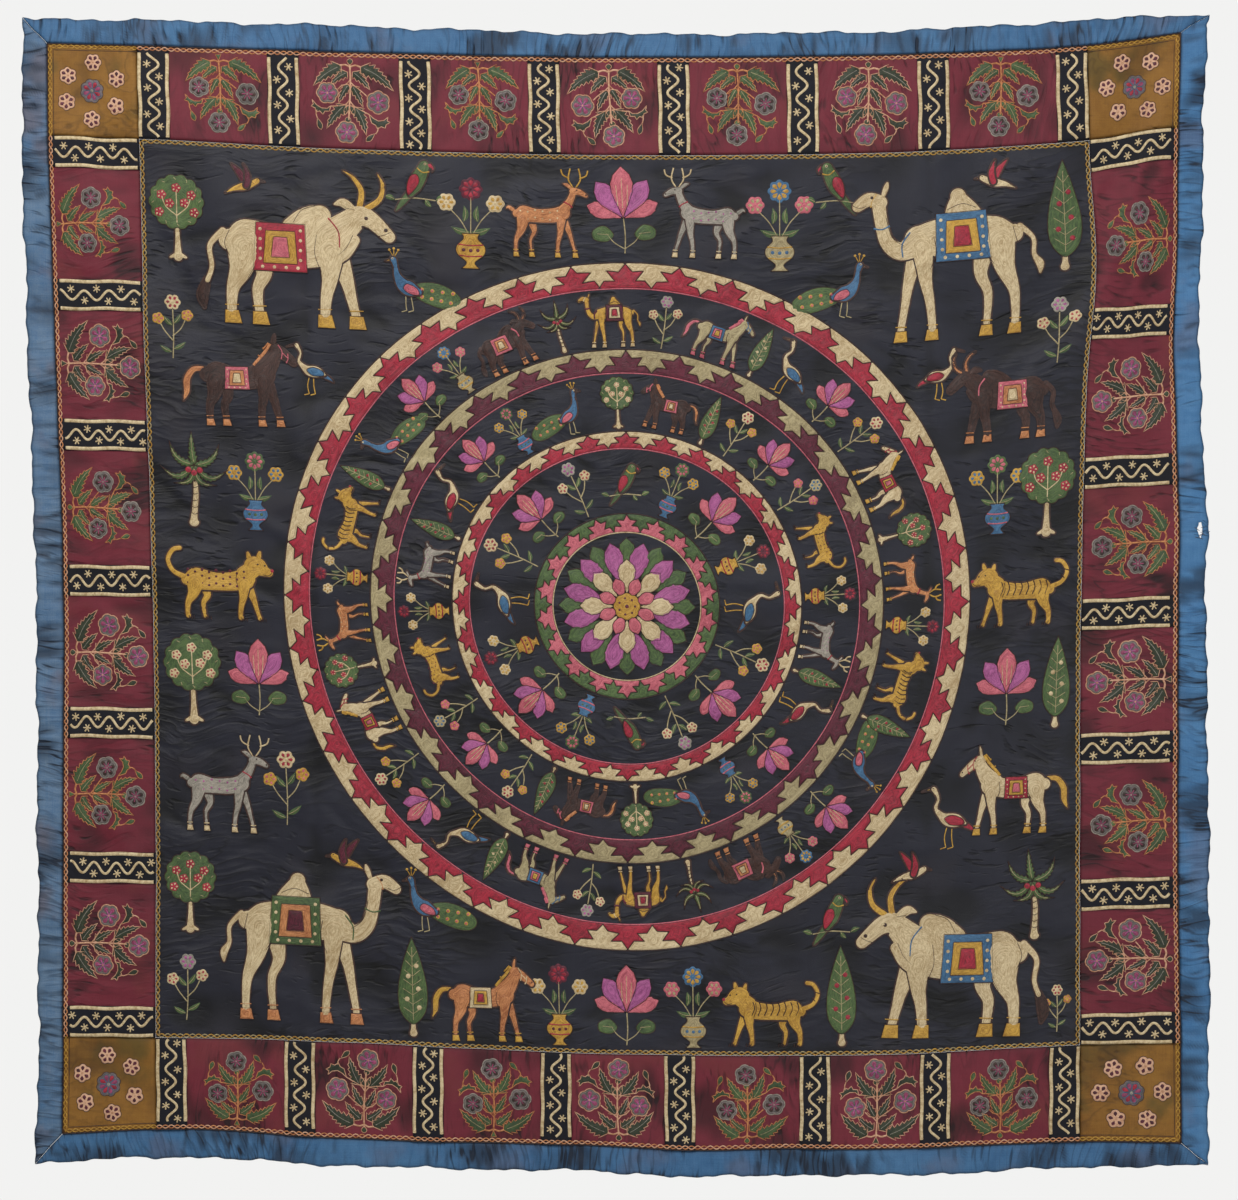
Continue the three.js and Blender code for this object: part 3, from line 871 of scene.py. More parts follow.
@dataclass
class ClothPiece:
    """One cut piece of cloth as a closed, thin, smoothly wrinkled sheet that replaces its solid."""

    node: str
    u1: float
    u2: float
    v1: float
    v2: float
    finish: ClothFinish
    cell: float
    thickness: float = GROUND_THICKNESS
    lift: float = 0.0
    edge: Edge = Edge.SEAM
    mitre: str = ""
    tear: Tear | None = None

    def _rim(self, distance: Array) -> Array:
        """How far the face sinks near its rim."""
        if self.edge is Edge.SEAM:
            return 0.75 * np.exp(-((distance / 2.6) ** 2))
        if self.edge is Edge.TURNED:
            return 0.35 * np.exp(-((distance / 0.8) ** 2))
        return 0.6 * np.exp(-((distance / 2.4) ** 2))

    def _grid(self) -> tuple[Array, Array, Array]:
        """The pattern places of the grid and each place's distance from the rim."""
        u, v = np.meshgrid(even_steps(self.u1, self.u2, self.cell), even_steps(self.v1, self.v2, self.cell))
        rim = np.minimum(np.minimum(u - self.u1, self.u2 - u), np.minimum(v - self.v1, self.v2 - v))
        if self.mitre:
            u, v = self._mitred(u, v)
        if self.tear:
            rows, columns = self._hole()
            middle = (self.tear.u1 + self.tear.u2) / 2
            deep = (v[rows, columns] - self.tear.v1) / (self.tear.v2 - self.tear.v1)
            narrow = 0.25 + 0.75 * np.sin(np.pi * np.clip(deep, 0, 1)) + 0.2 * np.sin(17 * deep)
            u[rows, columns] = middle + (u[rows, columns] - middle) * narrow
        return u, v, rim

    def _hole(self) -> tuple[slice, ...]:
        """The rows and columns of the grid round the tear, each end on an even one."""
        spans = []
        for low, high, ends in ((self.v1, self.v2, self.tear[2:]), (self.u1, self.u2, self.tear[:2])):
            steps = even_steps(low, high, self.cell)[::2]
            first, last = (2 * int(np.abs(steps - end).argmin()) for end in ends)
            spans.append(slice(first, last + 1))
        return tuple(spans)

    def _mitred(self, u: Array, v: Array) -> tuple[Array, Array]:
        """Draws the ends of an edging strip in to the mitre lines."""
        gap = GAP * sqrt(0.5)
        middle = OUTER_FOOT / 2
        if self.mitre in ("top", "bottom"):
            depth = v if self.mitre == "top" else OUTER_FOOT - v
            return u / OUTER_SIDE * (OUTER_SIDE - depth - gap), v
        depth = OUTER_SIDE - np.abs(u)
        return u, middle + (v - middle) / middle * (middle - depth - gap)

    def build(self, cloth: HungCloth, wardrobe: Wardrobe) -> bpy.types.Object:
        """Args:
            cloth: The hung shape.
            wardrobe: The materials.

        Returns:
            The sheet, which replaces its node.
        """
        u, v, rim = self._grid()
        sink = self._rim(rim)
        front = cloth.place(u.ravel(), v.ravel(), self.lift - sink.ravel())
        back_u, back_v, back_sink = (part[::2, ::2].ravel() for part in (u, v, sink))
        back = cloth.place(back_u, back_v, self.lift - self.thickness + 0.5 * back_sink)
        number = np.arange(u.size).reshape(u.shape)
        behind = np.full(u.shape, -1)
        behind[::2, ::2] = u.size + np.arange(len(back)).reshape(behind[::2, ::2].shape)
        kept = np.ones((u.shape[0] - 1, u.shape[1] - 1), bool)
        loops = [rim_of(number, slice(None), slice(None))]
        if self.tear:
            rows, columns = self._hole()
            kept[rows.start : rows.stop - 1, columns.start : columns.stop - 1] = False
            loops.append(np.roll(rim_of(number, rows, columns)[::-1], 1))
        faces = []
        for grid, cells, order in ((number, kept, 1), (behind[::2, ::2], kept[::2, ::2], -1)):
            corners = (grid[:-1, :-1], grid[1:, :-1], grid[1:, 1:], grid[:-1, 1:])
            faces.append(np.stack([corner[cells] for corner in corners][::order], 1))
        for loop in loops:
            first, between, last = loop[::2], loop[1::2], np.roll(loop, -2)[::2]
            low, high = behind.ravel()[first], behind.ravel()[last]
            for corners in ((first, between, low), (between, last, high), (between, high, low)):
                faces.append(np.stack(corners, 1))
        used = np.unique(np.concatenate([part.ravel() for part in faces]))
        renumbered = np.zeros(u.size + len(back), int)
        renumbered[used] = np.arange(len(used))
        places = np.concatenate((front, back))[used]
        faces = [renumbered[part] for part in faces]
        made = make_piece(f"{self.node}_cloth", places, faces, wardrobe.cloth(self.finish))
        # Painted shade: darker in the valleys of the fine creases and along each piece's rim at its seams,
        # carried to the material as the fold value.
        valley = np.clip(-0.65 * cloth.detail(u.ravel(), v.ravel()), 0, 0.9)
        fold_and_seam_shade = np.maximum(valley, 0.7 * np.exp(-((rim.ravel() / 2.2) ** 2)))
        carry(made, "fold", np.concatenate((fold_and_seam_shade, np.zeros(len(back))))[used])
        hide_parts(self.node)
        size = ((self.u2 - self.u1) * MM, (self.v2 - self.v1) * MM)
        return made


def spline(
    points: Sequence[Sequence[float]], closed: bool = False, step: float = 2.0, bent: bool = True
) -> Array:
    """A smooth curve through points; a point given twice is a corner.

    Args:
        points: The points, with any number of values each.
        closed: Whether the curve runs round to its start.
        step: The longest stretch between two samples.
        bent: Whether it bends; otherwise its stretches are straight.

    Returns:
        The samples, one row each.
    """
    p = np.asarray(points, float)
    n = len(p)
    out = []
    for i in range(n if closed else n - 1):
        a, b = p[i], p[(i + 1) % n]
        span = hypot(*(b - a)[:2])
        if span < 1e-9:
            continue
        count = max(1, ceil(span / step))
        s = (np.arange(count) / count)[:, None]
        if not bent:
            out.append(a + (b - a) * s)
            continue
        before = p[(i - 1) % n] if closed or i > 0 else a
        after = p[(i + 2) % n] if closed or i + 2 < n else b
        leave, arrive = (b - before) / 2, (after - a) / 2
        start = (2 * s**3 - 3 * s**2 + 1) * a + (s**3 - 2 * s**2 + s) * leave
        out.append(start + (3 * s**2 - 2 * s**3) * b + (s**3 - s**2) * arrive)
    if not closed:
        out.append(p[-1:])
    return np.concatenate(out)


def straight(points: Sequence[Sequence[float]], closed: bool = False, step: float = 2.0) -> Array:
    """Straight stretches through points, in even steps."""
    return spline(points, closed, step, False)


def normals_of(path: Array, closed: bool) -> Array:
    """Unit normals of a path, to the left of its run."""
    if closed:
        run = np.roll(path, -1, 0) - np.roll(path, 1, 0)
    else:
        run = np.gradient(path, axis=0)
    length = np.maximum(np.hypot(run[:, 0], run[:, 1]), 1e-9)
    return np.stack((-run[:, 1], run[:, 0]), 1) / length[:, None]


def tapered(stations: Sequence[tuple[float, float, float]], step: float = 1.8) -> Array:
    """The outline of a limb from places and widths along its middle, with round ends."""
    line = spline(stations, step=step)
    path = line[:, :2]
    half = line[:, 2:] / 2
    side = normals_of(path, False) * half
    ends = []
    for end, sign in ((-1, 1), (0, -1)):
        normal = side[end] * sign
        run = np.array((normal[1], -normal[0]))
        count = max(2, ceil(pi * np.hypot(*normal) / step))
        turn = (np.arange(1, count) / count * pi)[:, None]
        ends.append(path[end] + np.cos(turn) * normal + np.sin(turn) * run)
    return np.concatenate((path + side, ends[0], (path - side)[::-1], ends[1]))


def circle(x: float, y: float, radius: float, step: float = 1.8, squash: float = 1.0) -> Array:
    """A circle or an upright oval as a closed outline."""
    turn = np.linspace(0, tau, max(8, ceil(tau * radius / step)), endpoint=False)
    return np.stack((x + radius * np.cos(turn), y + radius * squash * np.sin(turn)), 1)


def lobed(x: float, y: float, radius: float, lobes: int, depth: float, start: float = 0.0) -> Array:
    """A flower's outline with rounded lobes."""
    turn = np.linspace(0, tau, max(lobes * 7, ceil(tau * radius / 1.6)), endpoint=False)
    r = radius * (1 - depth + depth * np.abs(np.cos(lobes * turn / 2)) ** 0.7)
    return np.stack((x + r * np.cos(turn + start), y + r * np.sin(turn + start)), 1)


def drop(x: float, y: float, angle: float, length: float, width: float) -> Array:
    """A pointed petal that starts at a place and swells towards its end."""
    t = np.linspace(0, 1, 7)
    swell = width / 2 * np.sin(np.pi * t**1.5) ** 0.8
    left = np.stack((t * length, swell), 1)
    outline = np.concatenate((left, (left * (1, -1))[-2:0:-1]))
    c, s = cos(angle), sin(angle)
    return outline @ np.array(((c, s), (-s, c))) + (x, y)


def serrated(base: Point, tip: Point, width: float, bend: float, teeth: int) -> tuple[Array, Array]:
    """A toothed leaf.

    Args:
        base: Where the leaf leaves its stem.
        tip: Its point.
        width: Its greatest width over the teeth.
        bend: How far its middle bows to the left of its run.
        teeth: How many teeth each side has; none gives a smooth leaf.

    Returns:
        The closed outline, and the path of the midrib.
    """
    start = np.array(base)
    run = np.array(tip) - start
    normal = np.array((-run[1], run[0])) / np.hypot(*run)

    def rib(t: Array) -> Array:
        return start + run * t[:, None] + normal * (bend * np.sin(np.pi * t))[:, None]

    if teeth:
        span = 0.76 / teeth
        k = np.arange(teeth)[:, None]
        t = (0.03 + span * (k + (0.88, 1.0))).ravel()
        fullness = np.minimum(1, (t + 0.12) / 0.3) * (1.16 - t)
        half = width / 2 * fullness * np.tile((1.18, 0.68), teeth)
        left = rib(t) + normal * half[:, None]
        right = rib(t) - normal * half[:, None]
    else:
        t = np.linspace(0.1, 0.92, 8)
        half = width / 2 * np.sin(np.pi * t**0.85)
        left = rib(t) + normal * half[:, None]
        right = rib(t) - normal * half[:, None]
    ends = rib(np.array((0.0, 1.0)))
    outline = np.concatenate((ends[:1], left, ends[1:], right[::-1]))
    return straight(outline, True, 4.5), rib(np.linspace(0.1, 0.8, 7))


@dataclass
class Heap:
    """Points and faces of one thread, gathered in the flat pattern until they are draped."""

    points: list[Array] = field(default_factory=list)
    faces: list[Array] = field(default_factory=list)
    count: int = 0

    def add(self, points: Array, faces: Array) -> None:
        """Adds a patch or a line: rows of u, v, lift, row, run and tone, and its triangles."""
        self.points.append(points)
        self.faces.append(faces + self.count)
        self.count += len(points)


@dataclass(frozen=True)
class Placing:
    """Where a motif goes on the pattern: its place, size and turn, and whether it is mirrored."""

    u: float
    v: float
    size: float = 1.0
    turn: float = 0.0
    mirror: bool = False

    def lay(self, path: Array) -> Array:
        """Moves a motif's own x and y, with y up, on to the pattern."""
        x = -path[:, 0] if self.mirror else path[:, 0]
        angle = radians(self.turn)
        c, s = cos(angle) * self.size, sin(angle) * self.size
        return np.stack((self.u + c * x - s * path[:, 1], self.v - s * x - c * path[:, 1]), 1)


def inside_of(outline: Array, points: Array) -> Array:
    """Which points a closed outline winds round, even where it crosses itself."""
    a = outline
    b = np.roll(outline, -1, 0)
    x, y = points[:, :1], points[:, 1:]
    left = (b[:, 0] - a[:, 0]) * (y - a[:, 1]) - (x - a[:, 0]) * (b[:, 1] - a[:, 1])
    up = (a[:, 1] <= y) & (b[:, 1] > y) & (left > 0)
    down = (a[:, 1] > y) & (b[:, 1] <= y) & (left < 0)
    return np.sum(up, 1) != np.sum(down, 1)


def edge_distance(outline: Array, points: Array) -> Array:
    """Each point's distance from a closed outline."""
    a = outline
    run = np.roll(outline, -1, 0) - a
    length = np.maximum(np.sum(run**2, 1), 1e-12)
    gap = points[:, None, :] - a[None]
    t = np.clip(np.sum(gap * run, 2) / length, 0, 1)
    return np.sqrt(np.min(np.sum((gap - t[:, :, None] * run) ** 2, 2), 1))


@dataclass
class Needlework:
    """Gathers filled shapes and stitched lines by thread, then drapes them on the cloth."""

    cloth: HungCloth
    wardrobe: Wardrobe
    seed: int = 23
    base: float = 0.22
    pillow: float = 0.3
    layer_step: float = 0.4
    shoulder: float = 0.75
    inner_step: float = 3.6
    reverse_step: float = 8.0
    reverse_lift: float = -GROUND_THICKNESS - 0.7
    heaps: dict[Thread, Heap] = field(default_factory=dict)

    def __post_init__(self) -> None:
        """Starts the draws for each patch's tone."""
        self.rng = random.Random(self.seed)

    def _heap(self, thread: Thread) -> Heap:
        """The heap of one thread."""
        return self.heaps.setdefault(thread, Heap())

    def fill(self, outline: Array, thread: Thread, layer: int = 0, edge: Thread | None = BROWN,
             width: float = 1.0, high: float = 0.0, tone: float = 0.0) -> None:
        """A shape filled with rows of chain stitch, slightly domed.

        Args:
            outline: The closed outline on the pattern.
            thread: The filling thread.
            layer: How many shapes lie under this one.
            edge: The thread of its outline, or none.
            width: The outline's width.
            high: How far it stands above its layer.
            tone: How much lighter it is than its thread's middle colour.
        """
        after = np.roll(outline, -1, 0)
        if np.sum(outline[:, 0] * after[:, 1] - outline[:, 1] * after[:, 0]) < 0:
            outline = outline[::-1]
        places, triangles = self._patch(outline, self.inner_step, True)
        away = edge_distance(outline, places)
        floor = self.base + layer * self.layer_step + high
        lift = floor - 0.4 + (0.4 + self.pillow) * (1 - np.exp(-away / 0.6))
        shade = np.full(len(places), tone + self.rng.uniform(-0.1, 0.1))
        run = (places[:, 0] + places[:, 1]) * 0.7
        columns = np.column_stack((places, lift, away, run, shade))
        self._heap(thread).add(columns, triangles[:, ::-1])
        if edge is not None:
            self.line(outline, edge, width, layer, closed=True)
        if layer < 2 and np.ptp(outline, axis=0).max() > 10 + 3 * layer:
            self._show_behind(outline, thread, tone, layer)

    def _patch(self, outline: Array, step: float, shoulder: bool) -> tuple[Array, Array]:
        """The points and triangles that cover a closed outline.

        Args:
            outline: The outline, which may cross itself.
            step: How far apart its inner points are.
            shoulder: Whether a row of points follows its edge.

        Returns:
            The places on the pattern, and the triangles' point numbers.
        """
        near = outline.min(0)
        far = outline.max(0)
        us = np.arange(near[0] + 0.7, far[0], step)
        vs = np.arange(near[1] + 0.7, far[1], step * 0.87)
        grid_u, grid_v = np.meshgrid(us, vs)
        grid_u[1::2] += step / 2
        sets = [(np.stack((grid_u.ravel(), grid_v.ravel()), 1), step / 2)]
        if shoulder:
            sets.append((outline + normals_of(outline, True) * self.shoulder, self.shoulder * 0.8))
        extra = []
        for points, least in sets:
            if len(points):
                points = points[inside_of(outline, points)]
            if len(points):
                extra.append(points[edge_distance(outline, points) > least])
        points = np.concatenate([outline, *extra])
        rim = [(i, (i + 1) % len(outline)) for i in range(len(outline))]
        made = delaunay_2d_cdt([Vector(p) for p in points.tolist()], rim, [], 0, 1e-4, False)
        places = np.array([tuple(p) for p in made[0]])
        triangles = np.array([face for face in made[2] if len(face) == 3])
        return places, triangles[inside_of(outline, places[triangles].mean(1))]

    def _show_behind(self, outline: Array, thread: Thread, tone: float, layer: int) -> None:
        """The same shape in low relief on the back, where its stitches come through."""
        coarse = outline[:: 2 + layer] if len(outline) > 15 else outline
        places, triangles = self._patch(coarse, self.reverse_step, False)
        n = len(places)
        run = places[:, 0] * 1.6
        lift = np.full(n, self.reverse_lift - 0.15 * layer)
        columns = (places, lift, places[:, 1] * 1.6, run, np.full(n, tone - 0.1))
        self._heap(thread).add(np.column_stack(columns), triangles)

    def joined(self, outlines: Sequence[Array], thread: Thread, layer: int = 0, edge: Thread = BROWN) -> None:
        """Overlapping shapes filled as one, with a single outline round them all.

        Args:
            outlines: The closed outlines on the pattern, lowest first.
            thread: The filling thread.
            layer: How many shapes lie under these.
            edge: The thread of the outline.
        """
        for outline in outlines:
            self.line(outline, edge, 2.3, layer, True, flat=True)
        for i, outline in enumerate(outlines):
            self.fill(outline, thread, layer, None, high=0.05 * i)

    def line(self, path: Array, thread: Thread, width: float, layer: int = 0, closed: bool = False,
             high: float = 0.0, flat: bool = False, tone: float = 0.0) -> None:
        """A stitched line: a low rounded cord laid on the cloth.

        Args:
            path: The points along it on the pattern.
            thread: Its thread.
            width: Its width.
            layer: How many shapes lie under it.
            closed: Whether it runs round to its start.
            high: How far it stands above its usual height.
            flat: Whether it lies flat, as an edge that shows from under a filling does.
            tone: How much lighter it is than its thread's middle colour.
        """
        n = len(path)
        if n < 2:
            return
        normal = normals_of(path, closed) * width / 2
        floor = self.base + layer * self.layer_step + high
        crown = floor + self.pillow * (0.35 if layer else 0) + min(0.35 * width, 0.7)
        ribs = ((-1.0, floor - 0.4), (0.0, crown), (1.0, floor - 0.4))
        if flat:
            ribs = ((-1.0, floor + 0.1), (1.0, floor + 0.1))
        lengths = np.hypot(*(path - np.roll(path, 1, 0)).T)
        lengths[0] = 0
        run = np.cumsum(lengths)
        shade = np.full(n, tone + self.rng.uniform(-0.08, 0.08))
        rows = []
        for share, lift in ribs:
            place = path + normal * share
            row = np.full(n, share * 0.57)
            rows.append(np.column_stack((place, np.full(n, lift), row, run, shade)))
        number = np.arange(n)
        after = np.roll(number, -1) if closed else number[1:]
        number = number if closed else number[:-1]
        faces = []
        for i in range(len(ribs) - 1):
            a, b = number + i * n, after + i * n
            c, d = after + (i + 1) * n, number + (i + 1) * n
            faces += [np.stack((a, c, b), 1), np.stack((a, d, c), 1)]
        self._heap(thread).add(np.concatenate(rows), np.concatenate(faces))

    def drape(self) -> list[bpy.types.Object]:
        """Lays every thread's heap on the cloth as one piece.

        Returns:
            The embroidery pieces.
        """
        made = []
        for thread, heap in self.heaps.items():
            rows = np.concatenate(heap.points)
            faces = np.concatenate(heap.faces)
            lift = rows[:, 2] + self.cloth.ground_lift(rows[:, 0], rows[:, 1])
            places = self.cloth.place(rows[:, 0], rows[:, 1], lift)
            name = f"stitching_{thread.name.lower()}"
            piece = make_piece(name, places, [faces], self.wardrobe.thread(thread))
            for label, column in (("row", 3), ("run", 4), ("tone", 5)):
                carry(piece, label, rows[:, column])
            LOG.info("%s: %d triangles", piece.name, len(faces))
            made.append(piece)
        return made


class PlantColours(NamedTuple):
    """The threads of one colourway of the border's flowering plants."""

    outline: Thread
    leaf: Thread
    vein: Thread
    rim: Thread
    petal: Thread


WARM_PLANT = PlantColours(ORANGE, GREEN, OLIVE, GREY, BROWN)
COOL_PLANT = PlantColours(PEACH, MOSS, GREY, PEACH, WINE)


class Leaf(NamedTuple):
    """One leaf of the border plant: base, tip, width, bend and teeth."""

    x1: float
    y1: float
    x2: float
    y2: float
    width: float
    bend: float
    teeth: int


PLANT_LEAVES = (
    Leaf(-9.5, 6.5, -40, 31, 17, 2.5, 5),
    Leaf(11.5, 7.0, 48.5, 32, 17.5, -3.5, 6),
    Leaf(-2.5, 13.5, -21.5, 29, 12.5, 1.5, 4),
    Leaf(3, 13, 22.5, 32, 12.5, -1.5, 4),
    Leaf(-1.2, 27, -12, 48.5, 11, 1, 4),
    Leaf(2.5, 28, 15, 51.5, 11.5, -1, 4),
    Leaf(-4.5, 49.5, -25, 77, 15, 2, 5),
    Leaf(6, 51, 19, 82.5, 15, -2, 5),
    Leaf(-0.8, 50, -5.2, 61, 5, 0.5, 0),
    Leaf(0.8, 50, 5.4, 61, 5, -0.5, 0),
)


class Blossom(NamedTuple):
    """One six-petalled flower of the border plant: its place, radius and turn."""

    x: float
    y: float
    radius: float
    turn: float


PLANT_BLOSSOMS = (Blossom(-24.3, 37.6, 12.4, 0.2), Blossom(31.3, 45, 13.4, 0.5), Blossom(-2.6, 79.6, 13, 0.0))

# The toothed cups behind the two side flowers, round their far edge and back
PLANT_CUPS = (
    ((-41, 46), (-39.5, 51), (-42, 53.5), (-37.5, 55), (-36.5, 59.5), (-32.5, 58), (-29, 61.5), (-27, 57.8))
    + ((-22, 57.5), (-20.5, 51.5), (-24.5, 54.6), (-30.5, 54.6), (-36, 51.6)),
    ((42.5, 60.5), (41.5, 65), (45, 66.5), (40.5, 69), (39.5, 73), (35, 71.5), (31, 74.5), (29, 70.3))
    + ((24.5, 68), (21.5, 58.5), (26.5, 63), (32, 65.6), (38, 64.6)),
)


@dataclass
class FlowerPanels:
    """The flowering plants of the border's maroon panels."""

    needle: Needlework

    def _blossom(self, at: Placing, spot: Blossom, colours: PlantColours, rng: random.Random) -> None:
        """One flower: a mottled lobed disc, its pale rim, six petals and a heart."""
        needle = self.needle
        turn = spot.turn + rng.uniform(-0.5, 0.5)
        disc = at.lay(lobed(spot.x, spot.y, spot.radius - 0.6, 6, 0.15, turn))
        needle.fill(disc, ASH, 0, None, tone=-0.25)
        needle.line(disc, colours.rim, 1.35, 0, True, 0.15, tone=-0.1)
        inner = at.lay(lobed(spot.x, spot.y, spot.radius - 2.9, 6, 0.12, turn))
        needle.line(inner, GREY, 0.7, 0, True, 0.3, tone=-0.2)
        for k in range(6):
            angle = turn + k * pi / 3
            x = spot.x + 1.0 * cos(angle)
            y = spot.y + 1.0 * sin(angle)
            needle.fill(at.lay(drop(x, y, angle, spot.radius * 0.74, 5.9)), colours.petal, 1, None)
            stroke = np.array(((x, y), (x + 5.4 * cos(angle), y + 5.4 * sin(angle))))
            needle.line(at.lay(stroke), (WINE, PINK)[colours is COOL_PLANT], 1.5, 1, high=0.2)
        needle.fill(at.lay(circle(spot.x, spot.y, 1.4)), colours.rim, 2, None)

    def _plant(self, at: Placing, colours: PlantColours, rng: random.Random) -> None:
        """One whole plant."""
        needle = self.needle
        for leaf in PLANT_LEAVES:
            outline, rib = serrated(leaf[:2], leaf[2:4], leaf.width, leaf.bend, leaf.teeth)
            needle.fill(at.lay(outline), colours.leaf, 0, colours.outline, 1.2, tone=-0.3)
            if leaf.teeth:
                needle.line(at.lay(rib), colours.vein, 0.95, 0, high=0.35)
        stems = (
            spline(((0, 5), (0.8, 28), (0, 50), (-0.6, 66))),
            spline(((-11, 6.5), (-5, 5.6), (0, 7.5), (6, 5.8), (12.5, 7.5))),
            spline(((0, 44), (-6, 50), (-21, 52))),
            spline(((0, 44), (6, 51), (22, 59))),
            spline(((0.5, 22), (-4, 27), (-9, 29), (-13, 33))),
            spline(((0.5, 24), (6, 29), (12, 33), (19, 39))),
            spline(((-35.5, 57), (-36.5, 61), (-35, 66))),
            spline(((31.5, 72), (31.5, 76), (29, 80))),
            spline(((-2, 50), (-5.5, 49.5))),
            spline(((2, 50), (7, 51.5))),
        )
        for i, stem in enumerate(stems):
            needle.line(at.lay(stem), colours.outline, 2.1 if i < 2 else 1.35, 0, high=0.12)
        root = straight(((-3.4, -1.5), (3.4, -1.5), (0, 6)), True)
        if rng.random() < 0.5:
            root = drop(0, 6.5, -pi / 2, 8, 6.5)
        needle.fill(at.lay(root), colours.leaf, 0, colours.outline, 1.0)
        for x, y, angle in ((-35, 65.5, 1.25), (28.5, 79.5, 2.4)):
            bud = at.lay(drop(x, y, angle, 13.5, 5.8))
            needle.fill(bud, colours.leaf, 0, colours.outline, 1.0, tone=-0.2)
        for cup in PLANT_CUPS:
            needle.fill(at.lay(straight(cup, True)), colours.leaf, 0, colours.outline, 1.2, tone=-0.3)
        needle.fill(at.lay(circle(-1.5, 66, 3.2)), colours.leaf, 0, colours.outline, 0.9)
        for spot in PLANT_BLOSSOMS:
            self._blossom(at, spot, colours, rng)

    def stitch(self) -> None:
        """Stitches one plant in every panel, its root to the outside, in turn warm and cool."""
        rng = random.Random(5)
        for row in STRIP_ROWS:
            spans = strip_spans(row)
            near = BAND_NEAR[row.side]
            outer = near + (8.5 if row.side in ("top", "left") else 96.5)
            turn = {"top": 180, "bottom": 0, "left": -90, "right": 90}[row.side]
            for i in range(len(spans) - 1):
                middle = (spans[i][1] + spans[i + 1][0]) / 2 + rng.uniform(-1.5, 1.5)
                if row.side == "right" and i == 0:
                    middle += 6
                u, v = (middle, outer) if row.level else (outer, middle)
                colours = WARM_PLANT if i % 2 == 0 else COOL_PLANT
                size = rng.uniform(0.95, 1.0) * (0.94 if colours is WARM_PLANT else 1)
                mirror = (row.side in ("top", "left")) != (rng.random() < 0.12)
                self._plant(Placing(u, v, size, turn + rng.uniform(-2, 2), mirror), colours, rng)


@dataclass
class StripPatterns:
    """The cream wave, stars and side lines on every divider strip."""

    needle: Needlework
    star_reach: float = 4.4

    def stitch(self) -> None:
        """Stitches all the strips."""
        rng = random.Random(11)
        for row in STRIP_ROWS:
            near = BAND_NEAR[row.side]
            outer_first = row.side in ("top", "left")
            start = near + (8.5 if outer_first else 1.5)
            end = near + BAND_WIDTH - (1.5 if outer_first else 8.5)
            for a, b in strip_spans(row):
                self._strip(row, (a + b) / 2, start, end, rng)

    def _lay(self, row: StripRow, across: Array, along: Array) -> Array:
        """Puts places across and along a strip on to the pattern."""
        return np.stack((across, along), 1) if row.level else np.stack((along, across), 1)

    def _strip(self, row: StripRow, middle: float, start: float, end: float, rng: random.Random) -> None:
        """One strip's two side lines, wave and stars."""
        along = np.arange(start, end, 1.4)
        phase = rng.uniform(0, 6.28)
        period = rng.uniform(25.5, 29.5)
        swing = rng.uniform(5.0, 6.2)
        uneven = 0.8 * np.sin(along / 17 + phase)
        wave = middle + swing * np.sin(2 * np.pi * along / period + phase) + uneven
        self.needle.line(self._lay(row, wave, along), CREAM, 3.2)
        for side in (-1, 1):
            wobble = 0.5 * np.sin(along / 9 + phase * side) + 0.3 * np.sin(along / 23 - phase)
            edge = middle + side * (STRIP_WIDTH / 2 - 2.2) + wobble
            self.needle.line(self._lay(row, edge, along), CREAM, 4.0)
        first = ceil((tau * start / period + phase) / pi - 1)
        for k in range(first, first + 12):
            centre = ((k + 0.5) * pi - phase) * period / tau
            if centre < start + 3 or centre > end - 3:
                continue
            crest = 1 if k % 2 == 0 else -1
            across = middle - crest * 6.6 + rng.uniform(-0.6, 0.6)
            self._star(row, across, centre + rng.uniform(-1, 1), rng.uniform(0, 1))

    def _star(self, row: StripRow, across: float, along: float, turn: float) -> None:
        """A small star of three crossed stitches."""
        for k in range(3):
            angle = turn + k * pi / 3
            reach = self.star_reach * np.array((-1, 0, 1))
            path = self._lay(row, across + reach * cos(angle), along + reach * sin(angle))
            self.needle.line(path, CREAM, 1.6, high=0.1 * k)


